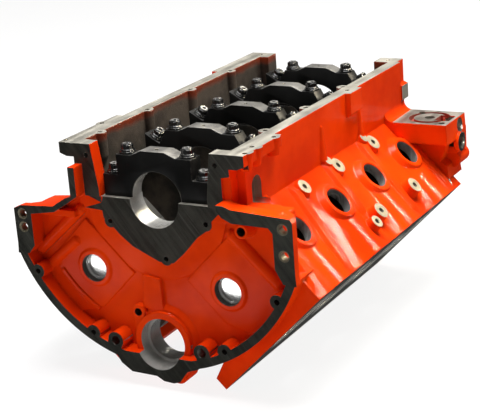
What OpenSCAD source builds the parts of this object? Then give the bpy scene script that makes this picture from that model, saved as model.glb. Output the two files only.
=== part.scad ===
// Vee-eight cylinder block, standing on its two cylinder decks with the oil pan rails up.
// X runs across the block, Y along the crankshaft from the bell housing end to the timing end,
// and Z up. The origin is on the crankshaft axis, in the plane of the rear machined shield.
// The bore axis of each bank leans 45 degrees down and outwards from the crankshaft axis.

/* [Crankshaft line] */
// Diameter of the main bearing bore
main_bore_d = 74.7; // [66:0.1:78]
// Distance from one main bearing to the next, and from one cylinder to the next
bore_pitch = 121.92; // [119:0.01:126]
// Distance from the rear shield face to the middle of the rear main bearing
rear_main_y = 19; // [17:0.5:22]
// Thickness of a main web and of its cap along the crankshaft
web_t = 25; // [20:0.5:27]
// Radius of the crankcase around the turning counterweights
crankcase_r = 112; // [104:1:114]
// Chamfer at the edges of the bearing bore in webs and caps
bore_chamfer = 1.6; // [0.5:0.1:2.5]

/* [Cylinders] */
// Diameter of a cylinder bore
bore_d = 109.7; // [98:0.1:112]
// How far the left bank stands ahead of the right bank
bank_stagger = 23; // [18:0.5:26]
// Distance from the crankshaft axis to the deck
deck_height = 242; // [236:1:250]
// Wall of a cylinder barrel
barrel_t = 6.5; // [5:0.5:8]
// Distance from the end cylinder's axis to the end of its bank
bank_end = 70; // [68:0.5:74]
// Chamfer at the mouth of a cylinder bore
bore_lead = 1.5; // [0.5:0.5:2.5]
// How far a cylinder bore reaches into the round of the crankcase
bore_into = 12; // [8:1:16]

/* [Banks] */
// Distance from the bore axes to the outer wall
wall_out = 86.6; // [84:0.2:90]
// Distance from the bore axes to the valley wall
wall_in = 76; // [74:0.5:78]
// Distance from the bore axes to the valley edge of the deck
deck_in = 120.9; // [112:0.5:124]
// Thickness of the water jacket's outer walls
jacket_wall = 7; // [5:0.5:8]
// Thickness of the deck plate
deck_t = 14; // [10:0.5:18]
// Thickness of the deck's ledge along the valley
ledge_t = 20; // [12:1:26]
// Thickness between the crankcase and the floor of the water jacket
jacket_floor_t = 8; // [5:0.5:14]
// Diameter of a head bolt hole
head_hole_d = 11; // [8:0.5:13]
// Depth of a head bolt hole
head_hole_depth = 40; // [25:1:50]
// Distance from the bore axes to each row of head bolts
head_row = 71; // [69:0.5:73]

/* [Core plug holes] */
// Diameter of a core plug hole in the side wall
side_plug_d = 39.6; // [34:0.2:42]
// Distance from the crankshaft axis to the side plug holes, along the bore axis
side_plug_u = 154.5; // [150:0.5:158]
// Diameter of the pad around a side plug hole
side_pad_d = 56; // [50:1:60]
// How far the pad around a plug hole stands out
plug_pad_h = 8; // [4:0.5:10]
// Diameter of a core plug hole in the rear wall
rear_plug_d = 39.2; // [34:0.2:42]
// Distance of the rear plug holes from the middle plane
rear_plug_x = 103.4; // [98:0.2:108]
// Depth of a rear plug hole
rear_plug_depth = 8; // [6:0.5:9]
// Thickness of the sheet of a cup plug
cup_t = 1.6; // [1:0.1:2.5]
// Height of a cup plug's rim
cup_h = 5; // [3:0.5:7]

/* [Camshaft tunnel] */
// Distance from the crankshaft axis down to the camshaft axis
cam_drop = 196; // [190:1:198]
// Diameter of the camshaft bearing bore
cam_bore_d = 60; // [52:0.5:62]
// Diameter of the counterbore at the rear of the tunnel
cam_mouth_d = 68; // [65:0.5:72]
// Depth of that counterbore
cam_mouth_depth = 16; // [8:1:20]
// Wall of the camshaft rings
cam_ring_t = 9; // [7:0.5:12]
// Diameter of a lifter bore
lifter_d = 23; // [20:0.5:25]
// Distance of the lifter bores from the middle plane
lifter_x = 52; // [50:1:54]
// Thickness of the lifter shelf
shelf_t = 20; // [14:1:24]

/* [Skirts and pan rails] */
// Height of the pan rail face over the crankshaft axis
rail_z = 72; // [68:0.5:78]
// Thickness of a skirt
skirt_t = 18; // [15:0.5:22]
// How far the wide rail ends stand out from the skirts
rail_over = 10; // [6:0.5:14]
// Thickness of a rail where it stands out from its skirt
rail_t = 15; // [10:0.5:20]
// Diameter of a pan bolt hole
pan_hole_d = 7; // [5:0.5:8]
// Depth of a pan bolt hole
pan_hole_depth = 22; // [12:1:28]
// Radius of the boss around a pan bolt hole
pan_boss_r = 9; // [8:0.5:10]
// How far the front end reaches ahead of the front web
front_reach = 29.8; // [24:0.5:34]

/* [Bell housing flange] */
// How far the flange face stands behind the shield
bell_depth = 23; // [18:0.5:28]
// Outer radius of the flange about the crankshaft axis
bell_r = 228; // [224:0.5:230]
// Width of the flange rim
bell_rim = 12; // [9:0.5:14]
// Half width over the ears
ear_x = 213; // [210:0.5:216]
// Width of an ear's machined band
ear_band = 28; // [24:1:32]
// Thickness of the ears' lip
lip_t = 12; // [10:0.5:16]
// Wall of an ear behind its lip
ear_wall = 7; // [5:0.5:9]
// Diameter of the bell housing bolt holes
bell_hole_d = 11; // [8:0.5:12]
// Diameter of the two dowel holes
dowel_d = 13; // [10:0.5:15]
// Distance of the ear bolts from the middle plane
ear_bolt_x = 199.3; // [197:0.1:201]
// Distance of the dowel holes from the middle plane
dowel_x = 67.2; // [64:0.2:70]
// Depth of a dowel hole
dowel_depth = 16; // [10:1:19]

/* [Main caps] */
// Height of the flat on top of a cap
cap_top_z = 65; // [62:0.5:68]
// Height of the seats of the inner nuts
cap_seat_z = 58; // [56:0.5:60]
// Half width of the flat on top of a cap
cap_flat_x = 18; // [14:0.5:21]
// Half width over a cap's upper ends
cap_x = 89; // [88:0.5:92]
// Gap between a cap's foot and the wall of the crankcase
foot_gap = 2; // [0.4:0.2:2.2]
// Half width of the rear cap
rear_cap_x = 80; // [78:0.5:82]
// Distance of the inner studs from the middle plane
stud_in_x = 46; // [45:0.5:47]
// Distance of the splayed nut seats from the middle plane
stud_out_x = 76; // [75:0.5:77]
// Height of the splayed nut seats
stud_out_z = 44; // [42:0.5:46]
// Lean of the splayed studs
splay = 30; // [26:1:31]
// Distance of the rear cap's outer studs from the middle plane
rear_out_x = 68.5; // [68:0.5:69]
// Height of the rear cap's outer nut seats
rear_out_z = 30; // [26:1:36]

/* [Studs and nuts] */
// Diameter of a stud
stud_d = 12.7; // [10:0.1:13]
// Room around a stud in its cap
stud_gap = 0.5; // [0.3:0.1:1]
// Depth of a stud in the block
stud_depth = 40; // [30:1:42]
// Length of stud that shows over its nut
stud_tip = 1.5; // [0.5:0.5:6]
// Diameter of a washer
washer_d = 22; // [20:0.5:22.5]
// Thickness of a washer
washer_t = 2.6; // [2:0.2:4]
// Diameter of a nut's flange
nut_flange_d = 20; // [18:0.5:21]
// Thickness of a nut's flange
nut_flange_t = 2.5; // [1.5:0.5:4]
// Diameter over the points of a nut's wrench part
nut_d = 17; // [15.5:0.5:18]
// Height of a nut
nut_h = 8.5; // [7:0.5:12]

/* [Oil pump pad] */
// Height of the pad face
pad_z = -5; // [-8:0.5:-2]
// Distance of the pad's middle from the middle plane
pad_x = 188; // [184:0.5:192]
// Half width of the pad across the block
pad_half_x = 41; // [38:0.5:43]
// Half length of the pad along the block
pad_half_y = 40; // [38:0.5:43]
// Distance from the front face back to the middle of the pad
pad_back = 52; // [50:0.5:54]
// Mean radius of the ring groove
pad_groove_r = 28; // [25:0.5:30]
// Diameter of the pump bore
pad_bore_d = 16; // [12:0.5:20]

/* [Hidden] */
$fn = 64;

// Small overlap that keeps joined solids from only touching
lap = 0.5;
// Reach of a cut past the face it opens
past = 2;
paint = [0.87, 0.27, 0.08];
black = [0.10, 0.10, 0.11];
steel = [0.16, 0.16, 0.17];
zinc = [0.86, 0.86, 0.84];

// Five main bearings, counted from the front as on the real engine: number 5 is the rear one
mains = 5;
cylinders = 4;
half_web = web_t / 2;
function main_y(k) = rear_main_y + (mains - k) * bore_pitch;
rear_face_y = 0;
front_web_y = main_y(1) + half_web;
front_y = front_web_y + front_reach;
bell_y = -bell_depth;

// What follows the width of the crankcase
skirt_x = crankcase_r + skirt_t;
rail_x = skirt_x + rail_over;
cap_foot_x = crankcase_r - foot_gap;
jacket_floor = crankcase_r + jacket_floor_t;
bore_foot = crankcase_r - bore_into;

// Cylinders stand midway between the mains, half the stagger behind or ahead
function bore_y(side, n) = main_y(mains) + (n + 0.5) * bore_pitch - side * bank_stagger / 2;
function bank_y0(side) = bore_y(side, 0) - bank_end;
function bank_y1(side) = bore_y(side, cylinders - 1) + bank_end;

// A point of the right bank's section: u along the bore axis, s out from it
function bank_point(u, s) = [(u + s) / sqrt(2), (s - u) / sqrt(2)];
skirt_foot_z = wall_out * sqrt(2) - skirt_x - 3;
shelf_z = -cam_drop + 18;
wall_y = 2;
left_wall_y = bank_y0(-1) + jacket_wall;
// The right bank ends in the rear wall, which stands a little ahead of its own end
function bank_start(side) = max(bank_y0(side), wall_y);
rear_inner_y = rear_face_y + 17;
rail_y = rear_face_y - 3;

// Sections drawn in X and Z, run along the crankshaft from y0 to y1
module along(y0, y1) {
    translate([0, y1, 0])
        rotate([90, 0, 0])
            linear_extrude(y1 - y0)
                children();
}

// A round bar or hole along the crankshaft
module bar_y(x, z, y0, y1, r) {
    translate([x, y0, z])
        rotate([-90, 0, 0])
            cylinder(h = y1 - y0, r = r);
}

// A round boss that narrows towards its end y1
module boss_y(x, z, y0, y1, r0, r1) {
    translate([x, y0, z])
        rotate([-90, 0, 0])
            cylinder(h = y1 - y0, r1 = r0, r2 = r1);
}

// Anything drawn for the right side, also placed on the left as its mirror image
module on_side(side) {
    if (side > 0)
        children();
    else
        mirror([1, 0, 0])
            children();
}

// Bank frame of one side: local Z runs out along the bore axis, local X towards the valley
module in_bank(side, y) {
    on_side(side)
        translate([0, y, 0])
            rotate([0, 135, 0])
                children();
}

// A round bar or hole square to a bank's outer wall, from s0 out to s1
module wall_bar(side, y, u, s0, s1, r0, r1) {
    in_bank(side, y)
        translate([-s0, 0, u])
            rotate([0, -90, 0])
                cylinder(h = s1 - s0, r1 = r0, r2 = r1);
}

// ---- Sections ----

// Right half of a bank's section, from the crankshaft axis to the deck
module bank_section() {
    polygon([
        [0, 0],
        [skirt_x, 0],
        [skirt_x, skirt_foot_z + 3],
        bank_point(deck_height, wall_out),
        bank_point(deck_height, -deck_in),
        bank_point(deck_height - ledge_t, -deck_in),
        bank_point(deck_height - ledge_t - 14, -wall_in),
        bank_point(wall_in, -wall_in)
    ]);
}

// Section of a main web with its camshaft ring between the banks
module web_section() {
    intersection() {
        translate([-skirt_x, -cam_drop - 60])
            square([2 * skirt_x, cam_drop + 60]);
        union() {
            circle(r = skirt_x);
            polygon([[-skirt_x, 0], [-70, -150], [-30, shelf_z - 6], [30, shelf_z - 6],
                     [70, -150], [skirt_x, 0]]);
        }
    }
    translate([0, -cam_drop])
        circle(d = cam_bore_d + 2 * cam_ring_t);
    translate([-18, -cam_drop])
        square([36, 60]);
}

// Section of the lifter shelf on the right
module shelf_section() {
    polygon([
        [lifter_x - lifter_d / 2 - 7, shelf_z],
        [lifter_x - lifter_d / 2 - 7, shelf_z - shelf_t],
        [lifter_x + 48, shelf_z - shelf_t],
        [lifter_x + 30, shelf_z]
    ]);
}

// Opening above the mains: the space between the skirts and around the counterweights
module crankcase_section() {
    circle(r = crankcase_r);
    translate([-crankcase_r, 0])
        square([2 * crankcase_r, rail_z + past]);
}

// ---- Bell housing flange ----

ear_top_right = 4;
ear_top_left = -21;
ear_low = -86;
ear_bolt_up_right = -12;
ear_bolt_up_left = -28;
ear_bolt_low = -47;
side_bolt = [184.5, -110];
low_bolt = [102.3, -189.5];
dowel = [dowel_x, -196.6];
strip_x = crankcase_r - 6;
ear_back_x = ear_x - ear_band + ear_wall;
strip_top_left = 44;

// Outer edge of the flange, or of the wall behind its lip, where the ears are narrower
module bell_outer(ear = ear_x) {
    intersection() {
        circle(r = bell_r);
        translate([-bell_r, -bell_r - 1])
            square([2 * bell_r, bell_r + 1 + ear_low + 6]);
    }
    // Right ear, with the strip that runs in to the shield
    polygon([[0, ear_low], [ear + 1, ear_low], [ear, ear_low + 14], [ear, -3],
             [ear - 3, ear_top_right - 2], [127, ear_top_right + 3], [strip_x + 10, 11],
             [strip_x, 11], [0, -20]]);
    // Left ear, which slopes down more
    polygon([[0, ear_low], [0, -20], [-strip_x, strip_top_left], [-strip_x - 10, strip_top_left],
             [-strip_x - 10, 3], [-126, 0], [-147, -13], [-ear + 12, -16], [-ear, ear_top_left],
             [-ear, ear_low + 14], [-ear - 1, ear_low]]);
    // Thick foot below the camshaft
    polygon([[-74, -205], [-61, -228], [-45, -239], [-6, -240], [5, -246], [20, -247],
             [30, -244], [43, -227], [60, -221], [75, -205]]);
}

// Space inside the rim, open upwards between the two strips
module bell_inner() {
    difference() {
        union() {
            intersection() {
                circle(r = bell_r - bell_rim);
                translate([-bell_r, -bell_r])
                    square([2 * bell_r, bell_r + ear_low + 1]);
            }
            polygon([
                [0, rail_z + past], [strip_x, rail_z + past], [strip_x, 3], [114, -5],
                [127, -11], [ear_x - ear_band - 6, -12], [ear_x - ear_band, -19],
                [ear_x - ear_band, -66], [ear_x - ear_band + 11, ear_low],
                [-ear_x + ear_band - 11, ear_low], [-ear_x + ear_band, -73],
                [-ear_x + ear_band, -27], [-146, -21], [-124, -8], [-strip_x, 4],
                [-strip_x, rail_z + past]
            ]);
        }
        for (side = [-1, 1]) {
            bolt_lobe(side, side_bolt, 10);
            bolt_lobe(side, low_bolt, 10.5);
            bolt_lobe(side, dowel, 12);
        }
        polygon([[-60, -230], [-52, -bell_r + bell_rim + 6], [52, -bell_r + bell_rim + 6], [60, -230]]);
    }
}

// A rounded lobe around a bolt hole, joined to the rim
module bolt_lobe(side, spot, r) {
    translate([side * spot[0], spot[1]]) {
        circle(r = r);
        rotate(atan2(spot[1], side * spot[0]))
            translate([0, -0.92 * r])
                square([30, 1.84 * r]);
    }
}

// Two cast lugs behind the foot of the flange
flange_lugs = [[22, -239, 13], [-64, -222, 11]];
module bell_flange() {
    for (l = flange_lugs)
        bar_y(l[0], l[1], bell_y + lip_t - lap, rear_inner_y, l[2]);
    along(bell_y, bell_y + lip_t)
        difference() {
            bell_outer();
            bell_inner();
        }
    along(bell_y, wall_y)
        difference() {
            bell_outer(ear_back_x);
            bell_inner();
        }
}

// Bolt and dowel holes of the bell housing, with light spot faces on the ears
module bell_holes() {
    for (side = [-1, 1]) {
        up = side > 0 ? ear_bolt_up_right : ear_bolt_up_left;
        for (z = [up, ear_bolt_low]) {
            bar_y(side * ear_bolt_x, z, bell_y - past, bell_y + lip_t + past, bell_hole_d / 2);
            boss_y(side * ear_bolt_x, z, bell_y - lap, bell_y + 1.5, 8.5, bell_hole_d / 2);
        }
        bar_y(side * side_bolt[0], side_bolt[1], bell_y - past, wall_y - 1, bell_hole_d / 2 - 1.5);
        bar_y(side * low_bolt[0], low_bolt[1], bell_y - past, wall_y - 1, bell_hole_d / 2 - 1.5);
        bar_y(side * dowel[0], dowel[1], bell_y - past, bell_y + dowel_depth, dowel_d / 2);
    }
}

// ---- Rear wall inside the flange ----

small_boss = [-36, -157];
strip_boss = [137, -23];
band_in_r = 80;
band_out_r = 108;
cam_boss_y = wall_y - 12;
cam_boss_r = cam_mouth_d / 2 + cam_ring_t;
function rear_plug_spot(side) = [side * rear_plug_x, side > 0 ? -113 : -103];

module rear_wall() {
    along(wall_y, left_wall_y)
        intersection() {
            bell_outer(ear_back_x);
            translate([-bell_r, -cam_drop - 52])
                square([2 * bell_r, cam_drop + 52]);
        }
    // Raised band around the crankshaft
    along(wall_y - 1.5, wall_y + lap)
        difference() {
            circle(r = band_out_r);
            circle(r = band_in_r - 12);
            translate([-band_out_r - 1, 0])
                square([2 * band_out_r + 2, band_out_r + 1]);
        }
    // End panel of each bank, a flat step with edges along and across the bore axis
    for (side = [-1, 1])
        on_side(side)
            along(wall_y - 3, wall_y + lap)
                intersection() {
                    polygon([bank_point(103, 55), bank_point(103, -45), bank_point(180, -45),
                             bank_point(bell_r, -20), bank_point(bell_r, 55)]);
                    circle(r = bell_r - bell_rim + 1);
                }
    // Rim around each core plug hole
    for (side = [-1, 1])
        boss_y(rear_plug_spot(side)[0], rear_plug_spot(side)[1], wall_y - 6, wall_y, 25, 30);
    // Camshaft boss, with a step around its mouth
    bar_y(0, -cam_drop, cam_boss_y, wall_y + lap, cam_boss_r);
    boss_y(0, -cam_drop, wall_y - 6, wall_y + lap, cam_boss_r + 3, cam_boss_r + 9);
    along(cam_boss_y, wall_y)
        translate([-cam_boss_r + 4, -cam_drop - 36])
            square([2 * cam_boss_r - 8, 36]);
    // Small oil boss beside it
    bar_y(small_boss[0], small_boss[1], cam_boss_y + 2, wall_y, 10);
    along(cam_boss_y + 4, wall_y)
        polygon([[-46, -158], [-44, -185], [-20, -170], [-26, -156]]);
    // Raised channel between the band and the camshaft boss
    along(wall_y - 6, wall_y + lap)
        polygon([[-26, -104], [0, -108], [2, -158], [-30, -150]]);
    // Threaded boss under the right strip
    boss_y(strip_boss[0], strip_boss[1], bell_y + 6, wall_y, 9.5, 13);
}

// A rounded ridge on the rear wall between two points [x, z], with the radius r and height h
module wall_ridge(a, b, r, h) {
    d = b - a;
    taper = 6;
    translate([a[0], wall_y + r - h, a[1]])
        rotate([0, atan2(d[0], d[1]), 0]) {
            translate([0, 0, -taper])
                cylinder(h = taper, r1 = r - 4, r2 = r);
            cylinder(h = norm(d), r = r);
            translate([0, 0, norm(d)])
                cylinder(h = taper, r1 = r, r2 = r - 4);
        }
}

// Ribs on the rear wall
module rear_ribs() {
    rib_h = 7;
    // Two fingers that fan out on the left
    wall_ridge([-193, -86], [-117, -20], 8.5, rib_h);
    wall_ridge([-180, -108], [-129, -66], 8, rib_h);
    // One rounded rib on the right
    wall_ridge(bank_point(104, 55), bank_point(194, 57), 9, rib_h + 1);
    // Low edge that follows the rim
    along(wall_y - rib_h + 2, wall_y + lap)
        intersection() {
            difference() {
                circle(r = 196);
                circle(r = 190);
            }
            polygon([[0, 0], [-260, -182], [-170, -268]]);
        }
}

// Machined shield around the crankshaft, with three bolt lobes
shield_bolt_r = 80;
shield_bolts = [[-72, -34], [76, -25], [11, -79.2]];
module shield() {
    along(rear_face_y, wall_y + lap) {
        polygon([[-80, 0], [-84, -12], [-82, -30], [-70, -40], [-58, -52], [-40, -66],
                 [-18, -76], [0, -84], [22, -84], [40, -68], [62, -44], [82, -30],
                 [87, -14], [85, 0]]);
        for (b = shield_bolts)
            translate(b)
                circle(r = 9);
    }
}

// ---- Skirts, rails and webs ----

module skirt(side) {
    on_side(side)
        along(rear_inner_y - lap, side > 0 ? front_y - 24 : front_y)
            polygon([[crankcase_r, -lap], [crankcase_r, rail_z], [skirt_x, rail_z],
                     [skirt_x, -lap]]);
}

// Wide end of a rail, which stands out from the skirt on a sloping underside
module wide_rail(side, y0, y1, x_in) {
    on_side(side)
        along(y0, y1)
            polygon([[x_in, rail_z], [rail_x, rail_z], [rail_x, rail_z - rail_t],
                     [skirt_x - lap, rail_z - rail_t - 4], [x_in, rail_z - rail_t - 4]]);
}

// Pan bolt boss on the inner face of a skirt
module pan_boss(side, x, y) {
    on_side(side)
        translate([x, y, rail_z - 34]) {
            cylinder(h = 34, r = pan_boss_r);
            translate([0, 0, -16])
                cylinder(h = 16 + 0.01, r1 = 2, r2 = pan_boss_r);
        }
}

// Round lump on the outer edge of a wide rail
module rail_lump(side, y, r) {
    on_side(side)
        translate([rail_x - r + 4, y, rail_z - 24])
            cylinder(h = 24, r1 = r - 3, r2 = r);
}

module pan_bosses() {
    for (k = [2 : mains])
        pan_boss(-1, pan_in_x, main_y(k) + pan_off_left);
    for (k = [2 : mains - 1])
        pan_boss(1, pan_in_x - 3, main_y(k) + pan_off_right);
}

pan_in_x = crankcase_r + 0.5;
pan_out_x = rail_x - 4;
// Offset of the inner pan bolts from the main bearings, on the left and on the right
pan_off_left = 36;
pan_off_right = -26;
rail_pads_left = [8.5, 95.5];
rail_pads_right = [9.5, 88.5];
late_pad_y = 341;

module rails() {
    wide_rail(-1, rail_y, 139, crankcase_r);
    wide_rail(-1, 412, front_y, crankcase_r);
    wide_rail(1, rail_y, 102, crankcase_r);
    rail_lump(-1, rail_pads_left[1], 12);
    rail_lump(1, rail_pads_right[1], 12);
    rail_lump(1, rail_pads_right[0] + 6, 11);
    rail_lump(1, 39.5, 11);
    // Long lug on the outside of the right skirt
    along(late_pad_y - 18, late_pad_y + 21)
        polygon([[skirt_x - lap, rail_z], [skirt_x + 8, rail_z], [skirt_x + 8, 41],
                 [skirt_x - lap, 35]]);
    // Low ribs on the outside of the right skirt
    for (y = [main_y(3) - 24, main_y(2) - 18])
        translate([skirt_x - 2, y, -4])
            cylinder(h = 50, r1 = 9, r2 = 4);
}

// Outer wall of the skirts where they end beside the rear cap
end_x = crankcase_r + 6;
// End blocks beside the rear cap, with the machined strips on their rear faces
module rear_end_blocks() {
    foot_in = rear_cap_x + 3;
    for (side = [-1, 1])
        on_side(side) {
            along(rail_y, rear_inner_y)
                polygon([[foot_in + 8, rail_z], [rail_x, rail_z], [rail_x, rail_z - rail_t],
                         [end_x, rail_z - rail_t - 3], [end_x, rail_z - rail_t - 14],
                         [strip_x, rail_z - rail_t - 16], [strip_x, 0], [foot_in, 0],
                         [foot_in, 12]]);
            along(rear_face_y, rear_inner_y)
                polygon([[foot_in + 8, rail_z], [end_x, rail_z], [end_x, -20],
                         [foot_in, -20], [foot_in, 12]]);
        }
}

// Front end: side walls of the timing chamber, and the flange around the timing gears
front_x = skirt_x - 5;
module front_end() {
    along(front_web_y - web_t, front_y)
        polygon([[-rail_x, rail_z], [-rail_x, 8], [-120, -40], [-104, -130],
                 [-84, -214], [-46, -246], [46, -246], [84, -214], [104, -130],
                 [116, -40], [front_x, 8], [front_x, rail_z]]);
}

module main_webs() {
    for (k = [1 : mains])
        along(k == mains ? wall_y : main_y(k) - half_web, main_y(k) + half_web)
            web_section();
}

// ---- Banks ----

module bank(side) {
    on_side(side)
        along(bank_start(side), bank_y1(side))
            bank_section();
    // Lifter shelf between the banks
    on_side(side)
        along(bank_start(side) + 6, bank_y1(side) - 6)
            shelf_section();
    // Two lugs on the valley edge of the deck
    for (k = [1, 2])
        in_bank(side, main_y(k) - 18 * side)
            translate([deck_in - 4, 0, deck_height - ledge_t + 1])
                cylinder(h = ledge_t - 7.5, r = 9);
}

// Water space around the four barrels of a bank
module water_jacket(side) {
    barrel_r = bore_d / 2 + barrel_t;
    start = bank_start(side) + jacket_wall;
    length = bank_y1(side) - jacket_wall - start;
    difference() {
        in_bank(side, start)
            translate([-wall_out + jacket_wall, 0, jacket_floor])
                cube([wall_out + wall_in - 2 * jacket_wall, length,
                      deck_height - deck_t - jacket_floor]);
        for (n = [0 : cylinders - 1])
            in_bank(side, bore_y(side, n))
                translate([0, 0, jacket_floor - past])
                    cylinder(h = deck_height, r = barrel_r);
        // Columns around the head bolts
        for (n = [0 : cylinders], row = [-1, 1])
            in_bank(side, bore_y(side, n) - bore_pitch / 2)
                translate([row * head_row, 0, jacket_floor - past])
                    cylinder(h = deck_height, r = head_hole_d / 2 + 6);
    }
}

module cylinder_bores(side) {
    for (n = [0 : cylinders - 1])
        in_bank(side, bore_y(side, n)) {
            translate([0, 0, bore_foot])
                cylinder(h = deck_height + past - bore_foot, d = bore_d, $fn = 96);
            translate([0, 0, deck_height - bore_lead])
                cylinder(h = bore_lead + 0.01, d1 = bore_d, d2 = bore_d + 2 * bore_lead, $fn = 96);
        }
}

// Head bolts, coolant passages and the small oil holes in a deck
module deck_holes(side) {
    for (n = [0 : cylinders])
        in_bank(side, bore_y(side, n) - bore_pitch / 2) {
            for (row = [-1, 1])
                translate([row * head_row, n == 0 ? 5 : n == cylinders ? -5 : 0,
                           deck_height - head_hole_depth])
                    cylinder(h = head_hole_depth + past, d = head_hole_d);
            if (n > 0 && n < cylinders)
                for (row = [-1, 1])
                    translate([row * 52, 0, deck_height - deck_t - 1])
                        cylinder(h = deck_t + 1 + past, r = 4.5);
        }
    for (n = [0 : cylinders - 1])
        in_bank(side, bore_y(side, n))
            translate([deck_in - 16, 0, deck_height - ledge_t + 4])
                cylinder(h = ledge_t, r = 4.5);
}

module lifter_bores(side) {
    for (n = [0 : cylinders - 1], pair = [-1, 1])
        translate([side * lifter_x, bore_y(side, n) + pair * 22, shelf_z - shelf_t - past])
            cylinder(h = shelf_t + 2 * past, d = lifter_d);
}

// ---- Outside of the bank walls ----

// Bosses on the outer wall: place along the block, distance from the axis, radius, height
deck_bosses = [[216, 209.5, 9.5, 14], [245, 201, 12, 14], [367, 201, 12, 14]];
foot_bosses = [[148, 112, 11, 8], [253, 113, 12, 8], [242, 100, 7, 8],
               [375, 113, 12, 8], [363, 100, 7, 8]];
// A boss with a smaller radius isn't drilled
drilled_r = 8;
// Slanting ribs, each between two points [y, u]
wall_ribs = [[[12, 238], [27, 178]], [[99, 239], [136, 98]], [[225, 190], [242, 96]],
             [[337, 238], [357, 96]], [[467, 238], [472, 140]]];

// A flat shape drawn in [y, u] on a bank's outer wall, from s0 out to s1
module on_wall(side, s0, s1) {
    in_bank(side, 0)
        translate([-s1, 0, 0])
            rotate([90, 0, 90])
                linear_extrude(s1 - s0)
                    children();
}

// A flat-topped rib on the outer wall between two points [y, u], w wide at its foot and h high
module wall_rib(side, a, b, w, h) {
    d = b - a;
    long = norm(d);
    fade = 16;
    in_bank(side, 0)
        translate([-wall_out, a[0], a[1]])
            rotate([atan2(-d[0], d[1]), 0, 0])
                intersection() {
                    linear_extrude(long)
                        polygon([[1, -w / 2], [-h, -w / 4], [-h, w / 4], [1, w / 2]]);
                    // Both ends slope down to the wall
                    translate([0, w / 2 + 1, 0])
                        rotate([90, 0, 0])
                            linear_extrude(w + 2)
                                polygon([[1, 0], [-h - 1, fade], [-h - 1, long - fade],
                                         [1, long]]);
                }
}

// Where the wall swells out over a cylinder, from its core hole down to the deck
swell_w = 64;
swell_h = 5;
module wall_swell(side, n) {
    r = (swell_w * swell_w / 4 + swell_h * swell_h) / (2 * swell_h);
    half = acos((r - swell_h - 1) / r);
    in_bank(side, bore_y(side, n))
        translate([-wall_out, 0, side_plug_u])
            linear_extrude(deck_height - side_plug_u)
                polygon([for (i = [-5 : 5])
                    [r - swell_h - r * cos(half * i / 5), r * sin(half * i / 5)]]);
}

module side_wall_features(side) {
    shift = side > 0 ? 0 : bank_stagger;
    for (n = [0 : cylinders - 1]) {
        wall_swell(side, n);
        wall_bar(side, bore_y(side, n), side_plug_u, wall_out - lap,
                 wall_out + plug_pad_h, side_pad_d / 2 + 6, side_pad_d / 2 - 1);
    }
    for (b = concat(deck_bosses, foot_bosses))
        wall_bar(side, b[0] + shift, b[1], wall_out - lap, wall_out + b[3], b[2] + 3, b[2]);
    for (r = wall_ribs)
        wall_rib(side, r[0] + [shift, 0], r[1] + [shift, 0], 24, 5);
}

module side_wall_holes(side) {
    shift = side > 0 ? 0 : bank_stagger;
    plug_r = side_plug_d / 2;
    rim = wall_out + plug_pad_h;
    for (n = [0 : cylinders - 1]) {
        wall_bar(side, bore_y(side, n), side_plug_u, wall_out - jacket_wall - 3,
                 rim + past, plug_r, plug_r);
        wall_bar(side, bore_y(side, n), side_plug_u, rim - 1.5, rim + 0.01,
                 plug_r, plug_r + 1.5);
    }
    for (b = concat(deck_bosses, foot_bosses))
        if (b[2] > drilled_r)
            wall_bar(side, b[0] + shift, b[1], wall_out - 2, wall_out + b[3] + past, 4, 4);
}

// Slot through the rear of the right skirt, with round ends
slot_r = 12.5;
slot_y = 44.5;
slot_z = [2.5, 20.5];
module skirt_slot() {
    for (z = slot_z)
        translate([crankcase_r - past, slot_y, z])
            rotate([0, 90, 0])
                cylinder(h = 60, r = slot_r);
    translate([crankcase_r - past, slot_y - slot_r, slot_z[0]])
        cube([60, 2 * slot_r, slot_z[1] - slot_z[0]]);
}

// ---- Oil pump pad ----

pad_y = front_y - pad_back - 1;
pad_out = pad_x + pad_half_x;
pad_ports = [[pad_y + 16, -13.5, 11.5, 0], [pad_y + 10, -37, 10, 6]];
pad_bolts = [[pad_x - 23, pad_y + 26], [pad_x + 30, pad_y - 28]];
saddle_r = 14;

module pump_pad() {
    along(pad_y - pad_half_y, pad_y + pad_half_y) {
        polygon([[skirt_x - 5, pad_z], [pad_out, pad_z], [pad_out + 2, pad_z - 31],
                 [skirt_x + 28, pad_z - 31], [skirt_x - 5, -10]]);
        // Saddle between the pad and the skirt
        difference() {
            translate([skirt_x - lap, pad_z - lap])
                square(saddle_r);
            translate([skirt_x + saddle_r, pad_z + saddle_r])
                circle(r = saddle_r);
        }
    }
    // Body under the front half of the pad
    along(pad_y - pad_half_y + 26, pad_y + pad_half_y)
        polygon([[skirt_x + 24, pad_z - 20], [pad_out - 8, pad_z - 20],
                 [pad_out - 12, pad_z - 46], [pad_out - 20, pad_z - 64],
                 [pad_out - 10, pad_z - 72], [pad_out - 7, pad_z - 92],
                 [pad_out - 30, pad_z - 74]]);
    along(pad_y - pad_half_y + 44, pad_y + pad_half_y)
        polygon([[pad_out - 20, pad_z - 20], [pad_out + 2, pad_z - 20],
                 [pad_out + 2, pad_z - 54], [pad_out - 20, pad_z - 58]]);
    // Tube boss of the lower port
    translate([pad_out - 2, pad_ports[1][0], pad_z + pad_ports[1][1]])
        rotate([0, 90, 0])
            cylinder(h = 2 + pad_ports[1][3], r = 15);
    // Lugs in front of the pad
    bar_y(pad_out - 10, pad_z - 66, pad_y + 8, front_y - 4, 13);
    boss_y(pad_out - 32, pad_z - 20, pad_y + pad_half_y - lap, front_y - 6, 12, 10);
    // Machined lug on the front of the skirt
    along(front_y - 24, front_y)
        polygon([[front_x - 2, 38], [front_x + 7, 34], [front_x + 7, 12], [front_x - 2, 6]]);
}

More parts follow.
